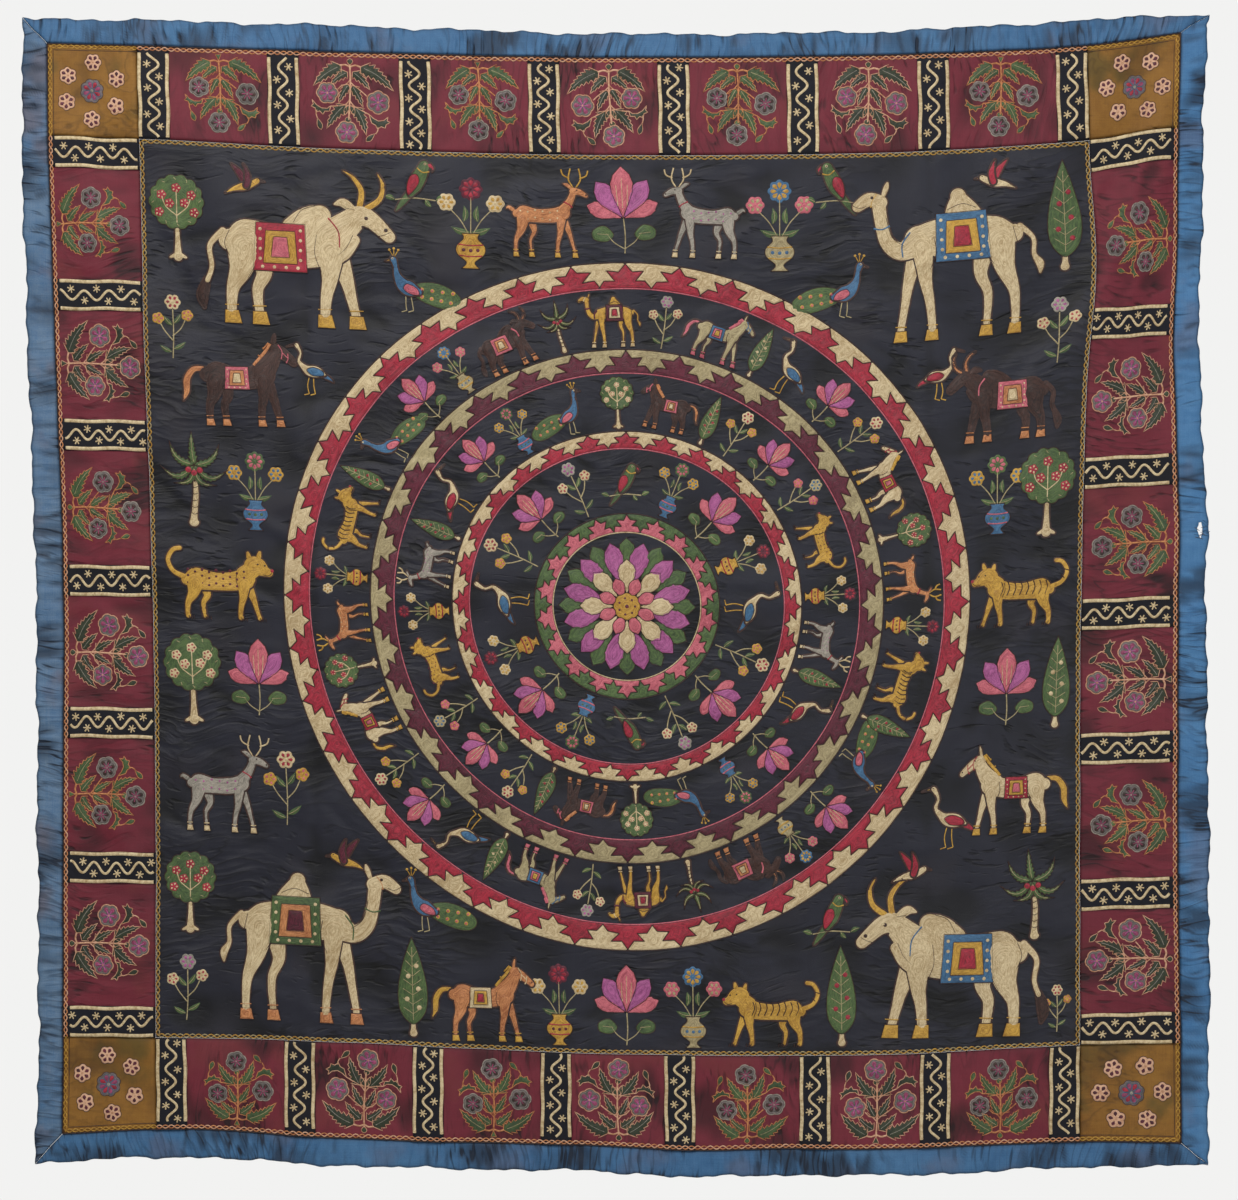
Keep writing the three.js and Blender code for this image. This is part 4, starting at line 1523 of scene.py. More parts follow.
@dataclass
class CornerFlowers:
    """The ring of six small flowers round a larger one on every corner square."""

    needle: Needlework
    ring: float = 32.0
    small: float = 10.2
    large: float = 13.8

    def stitch(self) -> None:
        """Stitches the four squares."""
        rng = random.Random(3)
        for u in (-1, 1):
            for v in (FIELD_TOP - BAND_WIDTH / 2, FIELD_FOOT + BAND_WIDTH / 2):
                self._square(Placing(u * (FIELD_SIDE + BAND_WIDTH / 2 + 1), v), rng)

    def _square(self, at: Placing, rng: random.Random) -> None:
        """One square's flowers."""
        needle = self.needle
        tilt = rng.uniform(-0.12, 0.12) + pi / 6 * round(rng.random())
        for k in range(6):
            angle = k * pi / 3 + tilt + rng.uniform(-0.06, 0.06)
            x = self.ring * cos(angle)
            y = self.ring * sin(angle)
            petals = rng.choice((5, 6, 6))
            turn = rng.uniform(0, 1)
            disc = at.lay(lobed(x, y, self.small, petals, 0.22, turn))
            needle.fill(disc, PEACH, 0, BROWN, 0.9, tone=0.3)
            for j in range(petals):
                a = turn + j * tau / petals
                petal = drop(x + 1.5 * cos(a), y + 1.5 * sin(a), a, self.small * 0.68, 4.7)
                needle.fill(at.lay(petal), MAROON, 1, None, tone=-0.2)
            needle.fill(at.lay(circle(x, y, 1.3)), PEACH, 2, None)
        disc = at.lay(lobed(0, 0, self.large, 8, 0.16, 0.3))
        needle.fill(disc, ASH, 0, BROWN, 0.9, tone=-0.1)
        for j in range(8):
            a = 0.3 + j * pi / 4
            petal = drop(1.5 * cos(a), 1.5 * sin(a), a, 10, 5.4)
            needle.fill(at.lay(petal), (WINE, RED)[j % 2], 1, BLUE, 0.7)
        needle.fill(at.lay(circle(0, 0, 2.0)), GREY, 2, None)


@dataclass
class Cables:
    """Two-strand chain lines round the field and inside the edging."""

    needle: Needlework
    pitch: float = 13.6
    swing: float = 1.8
    width: float = 1.4
    step: float = 1.9
    outer: float = 3.6
    inner: float = 2.6
    # How far inside the seam the dark line of painted seam shadow lies.
    seam: float = 0.6
    rule: float = 7.4

    def _strands(self, a: Point, b: Point, threads: tuple[Thread, Thread], tone: float = 0.0) -> None:
        """Both strands of one straight stretch.

        Args:
            a: Its start.
            b: Its end.
            threads: Their threads.
            tone: How much lighter they are than their threads' middle colours.
        """
        start = np.array(a)
        run = np.array(b) - start
        length = hypot(*run)
        run /= length
        normal = np.array((-run[1], run[0]))
        s = np.linspace(0, length, ceil(length / self.step))
        for phase, thread in zip((0.0, pi), threads):
            off = self.swing * np.sin(2 * np.pi * s / self.pitch + phase + 0.9 * np.sin(s / 70))
            path = start + run * s[:, None] + normal * off[:, None]
            self.needle.line(path, thread, self.width, high=0.15 + 0.1 * (phase > 0), tone=tone)

    @staticmethod
    def _sides(side: float, top: float, foot: float) -> list[tuple[Point, Point]]:
        """The four sides of a rectangle, each from corner to corner."""
        corners = ((-side, top), (side, top), (side, foot), (-side, foot))
        return [(corners[i], corners[(i + 1) % 4]) for i in range(4)]

    @staticmethod
    def _squares(inset: float) -> list[tuple[Point, Point, Point]]:
        """Each corner square's two outer sides, inset from the edging, as three points from the top down."""
        side = SEAM_SIDE - inset
        levels = ((EDGING_WIDTH + inset, FIELD_TOP), (SEAM_FOOT - inset, FIELD_FOOT))
        return [((u * FIELD_SIDE, v), (u * side, v), (u * side, near)) for u in (-1, 1) for v, near in levels]

    def stitch(self) -> None:
        """Stitches the outer and the inner cable."""
        side, top, foot = SEAM_SIDE - self.outer, EDGING_WIDTH + self.outer, SEAM_FOOT - self.outer
        for v in (top, foot):
            self._strands((-FIELD_SIDE, v), (FIELD_SIDE, v), (ORANGE, PEACH))
        for u in (-side, side):
            self._strands((u, FIELD_TOP), (u, FIELD_FOOT), (ORANGE, PEACH))
        for start, corner, end in self._squares(self.outer):
            self._strands(start, corner, (YELLOW, YELLOW), -0.35)
            self._strands(corner, end, (YELLOW, YELLOW), -0.35)
        for a, b in self._sides(FIELD_SIDE - self.inner, FIELD_TOP + self.inner, FIELD_FOOT - self.inner):
            self._strands(a, b, (OLIVE, YELLOW), -0.3)
        # Painted shadow: a dark brown line just inside the seam between the bands and the edging stands for
        # the shade in that seam.
        for a, b in self._sides(SEAM_SIDE - self.seam, EDGING_WIDTH + self.seam, SEAM_FOOT - self.seam):
            self.needle.line(straight((a, b), step=7.0), BROWN, 1.5, tone=-0.3)
        for corners in self._squares(self.rule):
            self.needle.line(straight(corners, step=7.0), BROWN, 0.9)


@dataclass
class FrayedThreads:
    """Loose threads in and round the torn place of the edging."""

    needle: Needlework
    strands: int = 12

    def stitch(self) -> None:
        """Lays the threads at random across the hole and past the outer edge."""
        rng = random.Random(41)
        for k in range(self.strands):
            v = rng.uniform(EDGING_TEAR.v1 - 3, EDGING_TEAR.v2 + 3)
            u = rng.uniform(EDGING_TEAR.u1 - 6, OUTER_SIDE - 3)
            reach, sag = rng.uniform(4, 9), rng.uniform(-5, 5)
            path = spline(((u, v), (u + reach / 2, v + sag / 2), (u + reach, v + sag)), step=1.5)
            self.needle.line(path, (BLUE, ASH)[k % 3 == 0], 0.6, high=0.3, tone=-0.3)


RING_CENTRE = (11.0, 630.0)


@dataclass(frozen=True)
class StarRing:
    """One band of interlocked stars: its radii, its number of stars and its threads."""

    outer: float
    inner: float
    stars: int
    outside: Thread
    inside: Thread
    rim: Thread


STAR_RINGS = (
    StarRing(377.5, 350, 40, CREAM, RED, ROSE),
    StarRing(282, 257, 30, OLIVE, MAROON, ROSE),
    StarRing(192, 174, 28, CREAM, RED, ROSE),
    StarRing(101.5, 82, 18, GREEN, ROSE, CREAM),
)

# Half of one star's edge: place along the repeat from an outward tip to an inward one, and height in the band
STAR_EDGE = ((0.0, 0.97), (0.11, 0.67), (0.33, 0.68), (0.19, 0.32), (0.40, 0.31), (0.5, 0.03))


@dataclass
class StarRings:
    """The round bands of interlocked stars on the field."""

    needle: Needlework

    def _edge(self, ring: StarRing, rng: random.Random) -> list[list[Point]]:
        """The zigzag edge between the two threads, one list of angle and radius for each repeat."""
        repeats = []
        for k in range(ring.stars):
            there = list(STAR_EDGE)
            back = [(1 - a, h) for a, h in STAR_EDGE[-2::-1]]
            points = []
            for i, (a, h) in enumerate(there + back[:-1]):
                stray = 0 if i == 0 else 1
                angle = (k + a + stray * rng.uniform(-0.025, 0.025)) * tau / ring.stars
                height = h + stray * rng.uniform(-0.04, 0.04)
                radius = ring.inner + (ring.outer - ring.inner) * min(max(height, 0.02), 0.98)
                points.append((angle, radius))
            repeats.append(points)
        return repeats

    @staticmethod
    def _round(points: Iterable[Point]) -> Array:
        """Angles and radii as places on the pattern."""
        turn, radius = np.array(list(points)).T
        u, v = RING_CENTRE
        return np.stack((u + radius * np.sin(turn), v - radius * np.cos(turn)), 1)

    def _arc(self, radius: float, a: float, b: float) -> list[Point]:
        """An arc as angles and radii, with neither end."""
        count = max(2, ceil(abs(b - a) * radius / 2.4))
        return [(a + (b - a) * i / count, radius) for i in range(1, count)]

    def stitch(self) -> None:
        """Stitches every band: outer stars, inner stars, their dark edge and the thin rims."""
        rng = random.Random(17)
        for ring in STAR_RINGS:
            repeats = self._edge(ring, rng)
            tip_in = len(STAR_EDGE) - 1
            for k, points in enumerate(repeats):
                last = k + 1 == ring.stars
                after = [(a + tau * last, r) for a, r in repeats[(k + 1) % ring.stars]]
                for radius, thread, star in (
                    (ring.outer, ring.outside, points + after[:1]),
                    (ring.inner, ring.inside, points[tip_in:] + after[: tip_in + 1]),
                ):
                    arc = self._arc(radius, star[-1][0], star[0][0])
                    outline = np.concatenate((straight(self._round(star), False, 2.4), self._round(arc)))
                    self.needle.fill(outline, thread, 0, None)
            whole = self._round([p for points in repeats for p in points])
            self.needle.line(straight(whole, True, 2.2), BROWN, 1.25, 0, True, 0.25)
            for radius, thread, width in ((ring.outer + 0.6, BROWN, 1.2), (ring.inner - 0.7, ring.rim, 1.4)):
                loop = circle(*RING_CENTRE, radius, 2.4)
                self.needle.line(loop, thread, width, 0, True, 0.1)


Station = tuple[float, float, float]
Stations = tuple[Station, ...]


class Palette(NamedTuple):
    """The threads of one motif: its body, its largest second piece, its trimming and its small accents."""

    body: Thread
    cloth: Thread
    trim: Thread
    accent: Thread


@dataclass(frozen=True)
class Pen:
    """Draws a motif's pieces in its own units, with y up, at one placing."""

    needle: Needlework
    at: Placing

    def step(self) -> float:
        """The step along an outline, in the motif's own units."""
        return (1.6 + 0.6 * self.at.size) / self.at.size

    def limbs(self, thread: Thread, layer: int, *chains: Stations) -> None:
        """Joined limbs, each given by places and widths along its middle."""
        outlines = [self.at.lay(tapered(chain, self.step())) for chain in chains]
        self.needle.joined(outlines, thread, layer)

    def shape(self, thread: Thread, layer: int, points: Sequence[Point], edge: Thread | None = BROWN) -> None:
        """A smooth closed shape; a point given twice is a corner."""
        self.needle.fill(self.at.lay(spline(points, True, self.step())), thread, layer, edge)

    def dots(self, thread: Thread, layer: int, radius: float, *places: Point) -> None:
        """Small round spots."""
        for x, y in places:
            self.needle.fill(self.at.lay(circle(x, y, radius, self.step())), thread, layer, None)

    def marks(self, thread: Thread, layer: int, width: float, *paths: Sequence[Point]) -> None:
        """Stitched lines of a width in millimetres."""
        for path in paths:
            self.needle.line(self.at.lay(spline(path, False, self.step())), thread, width, layer)

    def ink(self, *paths: Sequence[Point]) -> None:
        """Thin dark lines over a shape."""
        self.marks(BROWN, 2, 1.0, *paths)

    def leaf(self, base: Point, tip: Point, width: float, bend: float) -> None:
        """A smooth leaf with its midrib."""
        outline, rib = serrated(base, tip, width, bend, 0)
        self.needle.fill(self.at.lay(outline), GREEN, 0, None)
        self.needle.line(self.at.lay(rib), OLIVE, 0.8, 1)

    def blossom(self, x: float, y: float, radius: float, petals: int, rim: Thread, petal: Thread,
                layer: int = 0) -> None:
        """A round flower: a lobed disc, its petals and its heart."""
        self.needle.fill(self.at.lay(lobed(x, y, radius, petals, 0.2)), rim, layer, None)
        for k in range(petals):
            angle = tau * k / petals
            start = (x + radius * 0.14 * cos(angle), y + radius * 0.14 * sin(angle))
            outline = drop(*start, angle, radius * 0.66, radius * 0.42)
            self.needle.fill(self.at.lay(outline), petal, layer + 1, None)
        self.dots(rim, layer + 2, radius * 0.13, (x, y))


@dataclass(frozen=True)
class Stance:
    """How a beast that walks to the right stands.

    Args:
        hip: Where its hind legs stand.
        shoulder: Where its front legs stand.
        top: The height at which they join its body.
        thick: The thickness of a foreleg at its top.
    """

    hip: float
    shoulder: float
    top: float
    thick: float

    def feet(self) -> tuple[float, ...]:
        """Where the feet stand: near hind, near fore, far hind and far fore."""
        return self.hip - 8, self.shoulder - 4, self.hip + 9, self.shoulder + 15

    def stand(self, pen: Pen, thread: Thread, *chains: Stations) -> None:
        """The far legs, then the body's own limbs joined with the near legs."""
        hip, fore = self.hip, self.shoulder
        legs = (
            ((hip, 1, 1.5), (hip - 2, 0.72, 1.0), (hip - 7, 0.46, 0.56), (hip - 8, 0.26, 0.44)),
            ((fore, 1, 1.1), (fore - 1, 0.64, 0.66), (fore - 3, 0.4, 0.48)),
            ((hip + 8, 1, 1.2), (hip + 12, 0.68, 0.72), (hip + 8, 0.44, 0.5)),
            ((fore + 3, 1, 1.0), (fore + 9, 0.64, 0.62), (fore + 12, 0.38, 0.46)),
        )
        whole = []
        for leg, foot in zip(legs, self.feet()):
            leg += ((foot, 0.12, 0.4), (foot + 0.5, 3 / self.top, 0.46))
            whole.append(tuple((x, y * self.top, wide * self.thick) for x, y, wide in leg))
        pen.limbs(thread, 0, *whole[2:])
        pen.limbs(thread, 1, *chains, *whole[:2])

    def hooves(self, pen: Pen, thread: Thread) -> None:
        """A flat-footed hoof on every leg, with a ring above it."""
        top, half = 0.45 * self.thick, 0.28 * self.thick
        for x in self.feet():
            outline = [(x - half, top), (x + half, top), (x + 1.5 * half, -1.5), (x - 1.05 * half, -1.5)]
            pen.needle.fill(pen.at.lay(straight(outline, True, pen.step())), thread, 2, BROWN, 0.8)
            pen.marks(thread, 2, 1.2, ((x - half, 1.45 * top), (x + half, 1.5 * top)))

    def paws(self, pen: Pen) -> None:
        """A broad paw on every leg, with its toes marked."""
        for x in self.feet():
            ends = [x + share * self.thick for share in (0.1, 0.32, 0.52)]
            pen.marks(BROWN, 3, 0.9, *(((end, 0.26 * self.thick), (end + 0.6, -0.5)) for end in ends))


@dataclass(frozen=True)
class Motif:
    """A plant or animal of the field: how it is drawn, and how high and wide it is in its own units."""

    draw: Callable[[Pen, Palette], None]
    height: float
    width: float


def motif(height: float, width: float) -> Callable[[Callable[[Pen, Palette], None]], Motif]:
    """Makes a motif of the function that draws it."""
    return lambda draw: Motif(draw, height, width)


def saddle(pen: Pen, hues: Palette, x: float, y: float, width: float, drop_length: float) -> None:
    """A saddle cloth: a bordered panel with a row of spots round it."""
    for layer, thread, inset in ((2, hues.cloth, 0.0), (3, hues.trim, 0.2), (4, hues.accent, 0.36)):
        x1, x2 = x - width / 2 + inset * width, x + width / 2 - inset * width
        top, foot = y - inset * width * 0.8, y - drop_length + inset * width * 0.8
        flare = 0.05 * width
        points = ((x1, top), (x1, top), (x2, top), (x2, top), (x2 + flare, foot), (x2 + flare, foot))
        pen.shape(thread, layer, points + ((x1 - flare, foot), (x1 - flare, foot)))
    if pen.at.size < 1:
        return
    spots = []
    for share in (0.14, 0.38, 0.62, 0.86):
        spots.append((x - width / 2 + share * width, y - drop_length + 0.085 * width))
        for side in (-1, 1):
            spots.append((x + side * 0.41 * width, y - (0.02 + share * 0.85) * drop_length))
    pen.dots(CREAM, 3, 0.045 * width, *spots)


@motif(98, 118)
def bull(pen: Pen, hues: Palette) -> None:
    """A humped bull."""
    stance = Stance(-29, 24, 46, 15)
    stance.stand(
        pen, hues.body,
        ((-38, 50, 14), (-30, 50, 27), (-12, 48, 27), (8, 48, 27), (24, 52, 27), (30, 56, 20)),
        ((5, 57, 24), (10, 63, 21), (15, 67, 17), (17, 68, 14)),
        ((24, 54, 24), (33, 63, 18), (41, 69, 14), (48, 67, 11), (56, 60, 9), (59, 57, 8)),
        ((24, 42, 12), (32, 46, 9), (38, 54, 7)),
        ((37, 73, 5), (31, 77, 6), (26, 76, 2)),
        ((-42, 55, 5), (-50, 46, 3.6), (-49, 33, 3.2), (-52, 24, 3.4)),
    )
    pen.limbs(hues.trim, 1, ((41, 75, 4.5), (42, 85, 4), (37, 93, 3), (31, 97, 1.6)))
    pen.limbs(hues.trim, 1, ((45, 74, 4.5), (53, 80, 4), (55, 89, 3), (52, 96, 1.6)))
    pen.limbs(BROWN, 1, ((-52, 25, 4), (-55, 15, 7), (-54, 7, 2)))
    pen.ink(((-19, 56), (-18, 44), (-23, 34), (-27, 27)), ((15, 56), (14, 44), (18, 33)))
    pen.ink(((52, 57), (56, 58), (60, 60)), ((28, 44), (33, 49), (37, 57)))
    pen.marks(hues.cloth, 2, 2.2, ((22, 67), (28, 59), (29, 49)))
    pen.dots(BROWN, 2, 1.6, (45, 68), (57, 61))
    pen.ink(((1, 63), (6, 71), (14, 74)), ((-38, 56), (-41, 48), (-38, 40)), ((38, 73), (32, 74)))
    stance.hooves(pen, hues.trim)
    saddle(pen, hues, -7, 62, 30, 30)


@motif(99, 110)
def camel(pen: Pen, hues: Palette) -> None:
    """A camel with one hump."""
    stance = Stance(-26, 20, 56, 12)
    stance.stand(
        pen, hues.body,
        ((-34, 60, 12), (-26, 60, 22), (-8, 61, 25), (10, 61, 24), (22, 61, 18)),
        ((-6, 69, 27), (-4, 79, 19), (-3, 86, 10)),
        ((22, 59, 16), (33, 55, 12), (41, 61, 9.5), (44, 73, 8.5), (45, 84, 9)),
        ((44, 86, 9), (51, 88, 9), (58, 84, 7)),
        ((42, 90, 3), (40, 95, 3.6), (39, 98, 1.6)),
        ((-38, 64, 4), (-45, 56, 3), (-45, 46, 3), (-48, 40, 5), (-48, 34, 1.6)),
    )
    pen.ink(((-17, 62), (-17, 52), (-22, 42)), ((13, 62), (12, 52), (16, 42)))
    pen.ink(((53, 84), (57, 83), (61, 85)))
    pen.marks(hues.cloth, 2, 2.2, ((39, 71), (44, 69), (49, 70)), ((27, 66), (32, 59), (32, 51)))
    pen.marks(hues.trim, 2, 1.4, ((46, 91), (49, 87), (50, 83)))
    pen.dots(BROWN, 2, 1.4, (49, 89))
    pen.ink(((31, 58), (38, 64), (41, 76)), ((-13, 78), (-5, 81), (4, 78)), ((-34, 64), (-36, 54)))
    stance.hooves(pen, hues.trim)
    saddle(pen, hues, -4, 76, 30, 30)


@motif(97, 120)
def horse(pen: Pen, hues: Palette) -> None:
    """A prancing horse."""
    stance = Stance(-25, 25, 46, 13)
    pen.limbs(hues.trim, 0, ((-38, 58, 6), (-48, 57, 7), (-55, 47, 8), (-56, 34, 7), (-60, 24, 2)))
    stance.stand(
        pen, hues.body,
        ((-34, 52, 14), (-26, 52, 26), (-8, 49, 23), (10, 49, 22), (24, 53, 25)),
        ((23, 55, 24), (32, 66, 18), (38, 78, 13)),
        ((37, 80, 13), (45, 76, 11), (54, 69, 8), (57, 66, 7)),
        ((36, 85, 4), (37, 92, 3.6), (38, 96, 1.2)),
    )
    pen.marks(hues.trim, 2, 1.6, ((31, 87), (25, 80), (26, 82)), ((28, 80), (22, 73), (20, 74)))
    pen.marks(hues.trim, 2, 3.4, ((33, 86), (27, 77), (20, 69), (15, 63)))
    pen.ink(((-16, 56), (-15, 46), (-20, 36)), ((16, 56), (15, 46), (19, 36)))
    pen.marks(hues.cloth, 2, 1.4, ((41, 85), (45, 78), (44, 70)), ((51, 76), (51, 70), (49, 66)))
    pen.marks(hues.cloth, 2, 1.4, ((45, 77), (51, 71)))
    pen.dots(BROWN, 2, 1.4, (43, 80), (57, 68))
    stance.hooves(pen, hues.trim)
    saddle(pen, hues, -3, 61, 24, 24)


@motif(98, 90)
def deer(pen: Pen, hues: Palette) -> None:
    """A spotted deer with branched antlers."""
    stance = Stance(-23, 18, 40, 9.5)
    stance.stand(
        pen, hues.body,
        ((-30, 46, 10), (-24, 46, 19), (-8, 44, 16), (10, 45, 17), (20, 48, 17)),
        ((20, 50, 14), (27, 60, 9.5), (31, 70, 8)),
        ((31, 72, 9), (38, 71, 7.5), (45, 67, 5)),
        ((29, 75, 4), (24, 79, 4.6), (20, 80, 1.6)),
        ((-34, 50, 5), (-39, 53, 4), (-41, 51, 1.6)),
    )
    pen.marks(hues.trim, 1, 1.7, ((31, 76), (26, 85), (28, 97)), ((27, 86), (20, 90), (18, 96)))
    pen.marks(hues.trim, 1, 1.7, ((34, 76), (39, 85), (37, 97)), ((38, 86), (45, 89), (47, 95)))
    pen.dots(hues.cloth, 2, 1.5, *((x, y + (x % 3)) for x in range(-26, 22, 8) for y in (40, 48)))
    pen.dots(BROWN, 2, 1.3, (35, 73), (45, 68))
    pen.marks(hues.accent, 2, 1.8, ((21, 60), (27, 57), (30, 54)))
    stance.hooves(pen, hues.trim)


@motif(78, 108)
def cat(pen: Pen, hues: Palette) -> None:
    """A spotted or striped great cat."""
    stance = Stance(-26, 23, 36, 12)
    stance.stand(
        pen, hues.body,
        ((-34, 39, 13), (-26, 40, 23), (-6, 38, 19), (12, 39, 20), (24, 42, 22)),
        ((24, 46, 19), (32, 52, 18)),
        ((33, 55, 21), (38, 54, 19), (45, 50, 11), (48, 49, 9)),
        ((28, 64, 6), (27, 68, 4)),
        ((38, 65, 6), (39, 69, 4)),
        ((-38, 42, 6), (-48, 47, 5), (-53, 58, 5), (-48, 68, 5), (-41, 70, 5)),
    )
    if hues.cloth is BROWN:
        stripes = [((x, 49), (x - 2, 42), (x + 1, 34)) for x in range(-30, 22, 7)]
        pen.marks(BROWN, 2, 1.6, *stripes, ((-50, 50), (-47, 54)), ((-56, 58), (-50, 60)))
    else:
        places = [(x, y + 2 * (x % 2)) for x in range(-33, 26, 7) for y in (34, 41, 47)]
        pen.dots(hues.cloth, 2, 1.7, *places)
    pen.dots(BROWN, 2, 1.5, (37, 57), (44, 56))
    pen.ink(((42, 47), (47, 46), (51, 49)), ((16, 48), (15, 40), (18, 32)))
    pen.dots(hues.accent, 2, 2.0, (51, 51))
    stance.paws(pen)


@motif(90, 104)
def peacock(pen: Pen, hues: Palette) -> None:
    """A peacock with a trailing train."""
    pen.marks(OLIVE, 0, 1.4, ((-1, 22), (-3, 10), (-4, 2)), ((-4, 2), (3, 0)))
    pen.marks(OLIVE, 0, 1.4, ((6, 24), (6, 10), (5, 2)), ((5, 2), (12, 0)))
    train = ((-2, 36), (-26, 42), (-50, 36), (-68, 22), (-68, 10), (-54, 4), (-28, 10), (-6, 22))
    pen.shape(hues.cloth, 0, train)
    for i in range(4):
        for y, x in ((14 + i * 2.6, -55 + i * 13), (27 + i * 1.6, -58 + i * 14)):
            pen.dots(hues.trim, 1, 3.4, (x, y))
            pen.dots(hues.accent, 2, 1.7, (x + 0.4, y))
    chain = ((-12, 28, 10), (0, 32, 21), (10, 38, 18), (17, 50, 10), (19, 62, 7), (21, 70, 9), (22, 72, 9))
    pen.limbs(hues.body, 1, chain)
    pen.limbs(YELLOW, 1, ((26, 71, 4), (33, 69, 1.4)))
    pen.shape(hues.accent, 2, ((-9, 33), (4, 39), (9, 32), (0, 25), (-12, 24)))
    pen.marks(hues.trim, 1, 1.0, ((20, 76), (16, 83)), ((21, 77), (21, 85)), ((22, 76), (26, 83)))
    pen.dots(hues.trim, 1, 1.8, (15, 85), (21, 87), (27, 85))
    pen.dots(CREAM, 2, 1.8, (23, 73))
    pen.dots(BROWN, 3, 0.9, (23, 73))


@motif(62, 74)
def parrot(pen: Pen, hues: Palette) -> None:
    """A parrot on a leafy twig."""
    pen.marks(OLIVE, 0, 1.7, ((-22, 8), (0, 11), (24, 9)))
    pen.leaf((24, 9), (37, 14), 7, 1)
    pen.leaf((-22, 8), (-35, 12), 7, -1)
    pen.leaf((12, 10), (20, 1), 6, -1)
    pen.limbs(hues.body, 0, ((-4, 18, 9), (-13, 6, 8), (-21, -5, 3)))
    pen.limbs(hues.body, 1, ((-4, 16, 9), (0, 25, 17), (6, 37, 17), (10, 46, 14), (11, 49, 13)))
    pen.limbs(RED, 1, ((17, 50, 6), (21, 46, 4), (20, 42, 1.4)))
    pen.shape(hues.cloth, 2, ((-5, 36), (3, 38), (5, 28), (-6, 14), (-9, 22)))
    pen.marks(hues.accent, 2, 1.7, ((3, 46), (9, 41), (17, 42)))
    pen.dots(CREAM, 2, 2.0, (12, 51))
    pen.dots(BROWN, 3, 1.0, (12, 51))


@motif(78, 70)
def crane(pen: Pen, hues: Palette) -> None:
    """A long-legged crane."""
    pen.marks(hues.trim, 0, 1.5, ((-2, 28), (-2, 14), (-4, 2)), ((-4, 2), (3, 0)))
    pen.marks(hues.trim, 0, 1.5, ((4, 28), (7, 14), (5, 2)), ((5, 2), (12, 0)))
    pen.limbs(hues.cloth, 0, ((-14, 31, 9), (-25, 25, 6), (-31, 20, 2)))
    body = ((-18, 31, 6), (-8, 34, 17), (4, 36, 17), (12, 41, 10))
    pen.limbs(hues.body, 1, body + ((19, 50, 6), (16, 61, 5), (20, 70, 7), (22, 73, 8)))
    pen.limbs(hues.trim, 1, ((26, 73, 3.4), (37, 70, 1.2)))
    pen.shape(hues.cloth, 2, ((-15, 36), (-2, 41), (8, 37), (0, 29), (-16, 29)))
    pen.dots(BROWN, 2, 1.2, (23, 74))


@motif(38, 50)
def flier(pen: Pen, hues: Palette) -> None:
    """A small bird in flight."""
    pen.limbs(hues.cloth, 0, ((4, 8, 8), (-2, 20, 9), (-10, 30, 5), (-14, 34, 1.6)))
    pen.limbs(hues.body, 1, ((-22, -3, 2), (-10, 3, 7), (2, 6, 11), (12, 10, 9), (17, 13, 8)))
    pen.limbs(hues.cloth, 2, ((4, 7, 8), (6, 18, 8), (3, 30, 4), (1, 34, 1.6)))
    pen.limbs(YELLOW, 1, ((21, 13, 3), (26, 12, 1.2)))
    pen.dots(BROWN, 2, 1.1, (17, 14.5))


@motif(100, 66)
def tree(pen: Pen, hues: Palette) -> None:
    """A round tree in flower on a pale trunk."""
    roots = (((0, 6, 8), (-9, 2, 4)), ((0, 6, 8), (9, 2, 4)))
    pen.limbs(CREAM, 0, ((0, 44, 6), (0, 22, 7), (0, 7, 10), (0, 3, 12)), *roots)
    pen.needle.fill(pen.at.lay(lobed(0, 66, 32, 14, 0.1)), hues.body, 1)
    branches = [((0, 50), (x * 12, 60), (x * 16, 70)) for x in (-1, 1)]
    pen.marks(CREAM, 2, 1.6, ((0, 42), (0, 60), (0, 78)), *branches)
    for x, y in ((0, 82), (-17, 74), (17, 74), (-20, 54), (20, 54), (-8, 64), (9, 65)):
        pen.blossom(x, y, 6.2, 5, hues.cloth, hues.trim, 2)
    for k in range(12):
        a = k * pi / 6
        x, y = 25.5 * cos(a), 66 + 25.5 * sin(a)
        pen.marks(OLIVE, 2, 1.1, ((x, y), (x + 3.5 * cos(a + 0.7), y + 3.5 * sin(a + 0.7))))


@motif(95, 30)
def cypress(pen: Pen, hues: Palette) -> None:
    """A tall pointed tree."""
    pen.limbs(CREAM, 0, ((0, 16, 5), (0, 6, 6), (0, 2, 9)))
    right = ((0, 10), (12, 22), (14, 44), (8, 72), (0, 94))
    pen.shape(hues.body, 1, right + ((0, 94), (-8, 72), (-14, 44), (-12, 22)))
    pen.marks(OLIVE, 2, 1.1, ((0, 14), (0, 84)))
    for y in range(20, 76, 9):
        half = 9.5 * sin(pi * (y / 100) ** 0.6)
        pen.marks(OLIVE, 2, 1.0, ((-half, y + 6), (0, y)), ((half, y + 6), (0, y)))
    pen.dots(hues.cloth, 3, 2.4, (-5.5, 34), (5.5, 44), (-4, 56), (4, 66), (6, 26))


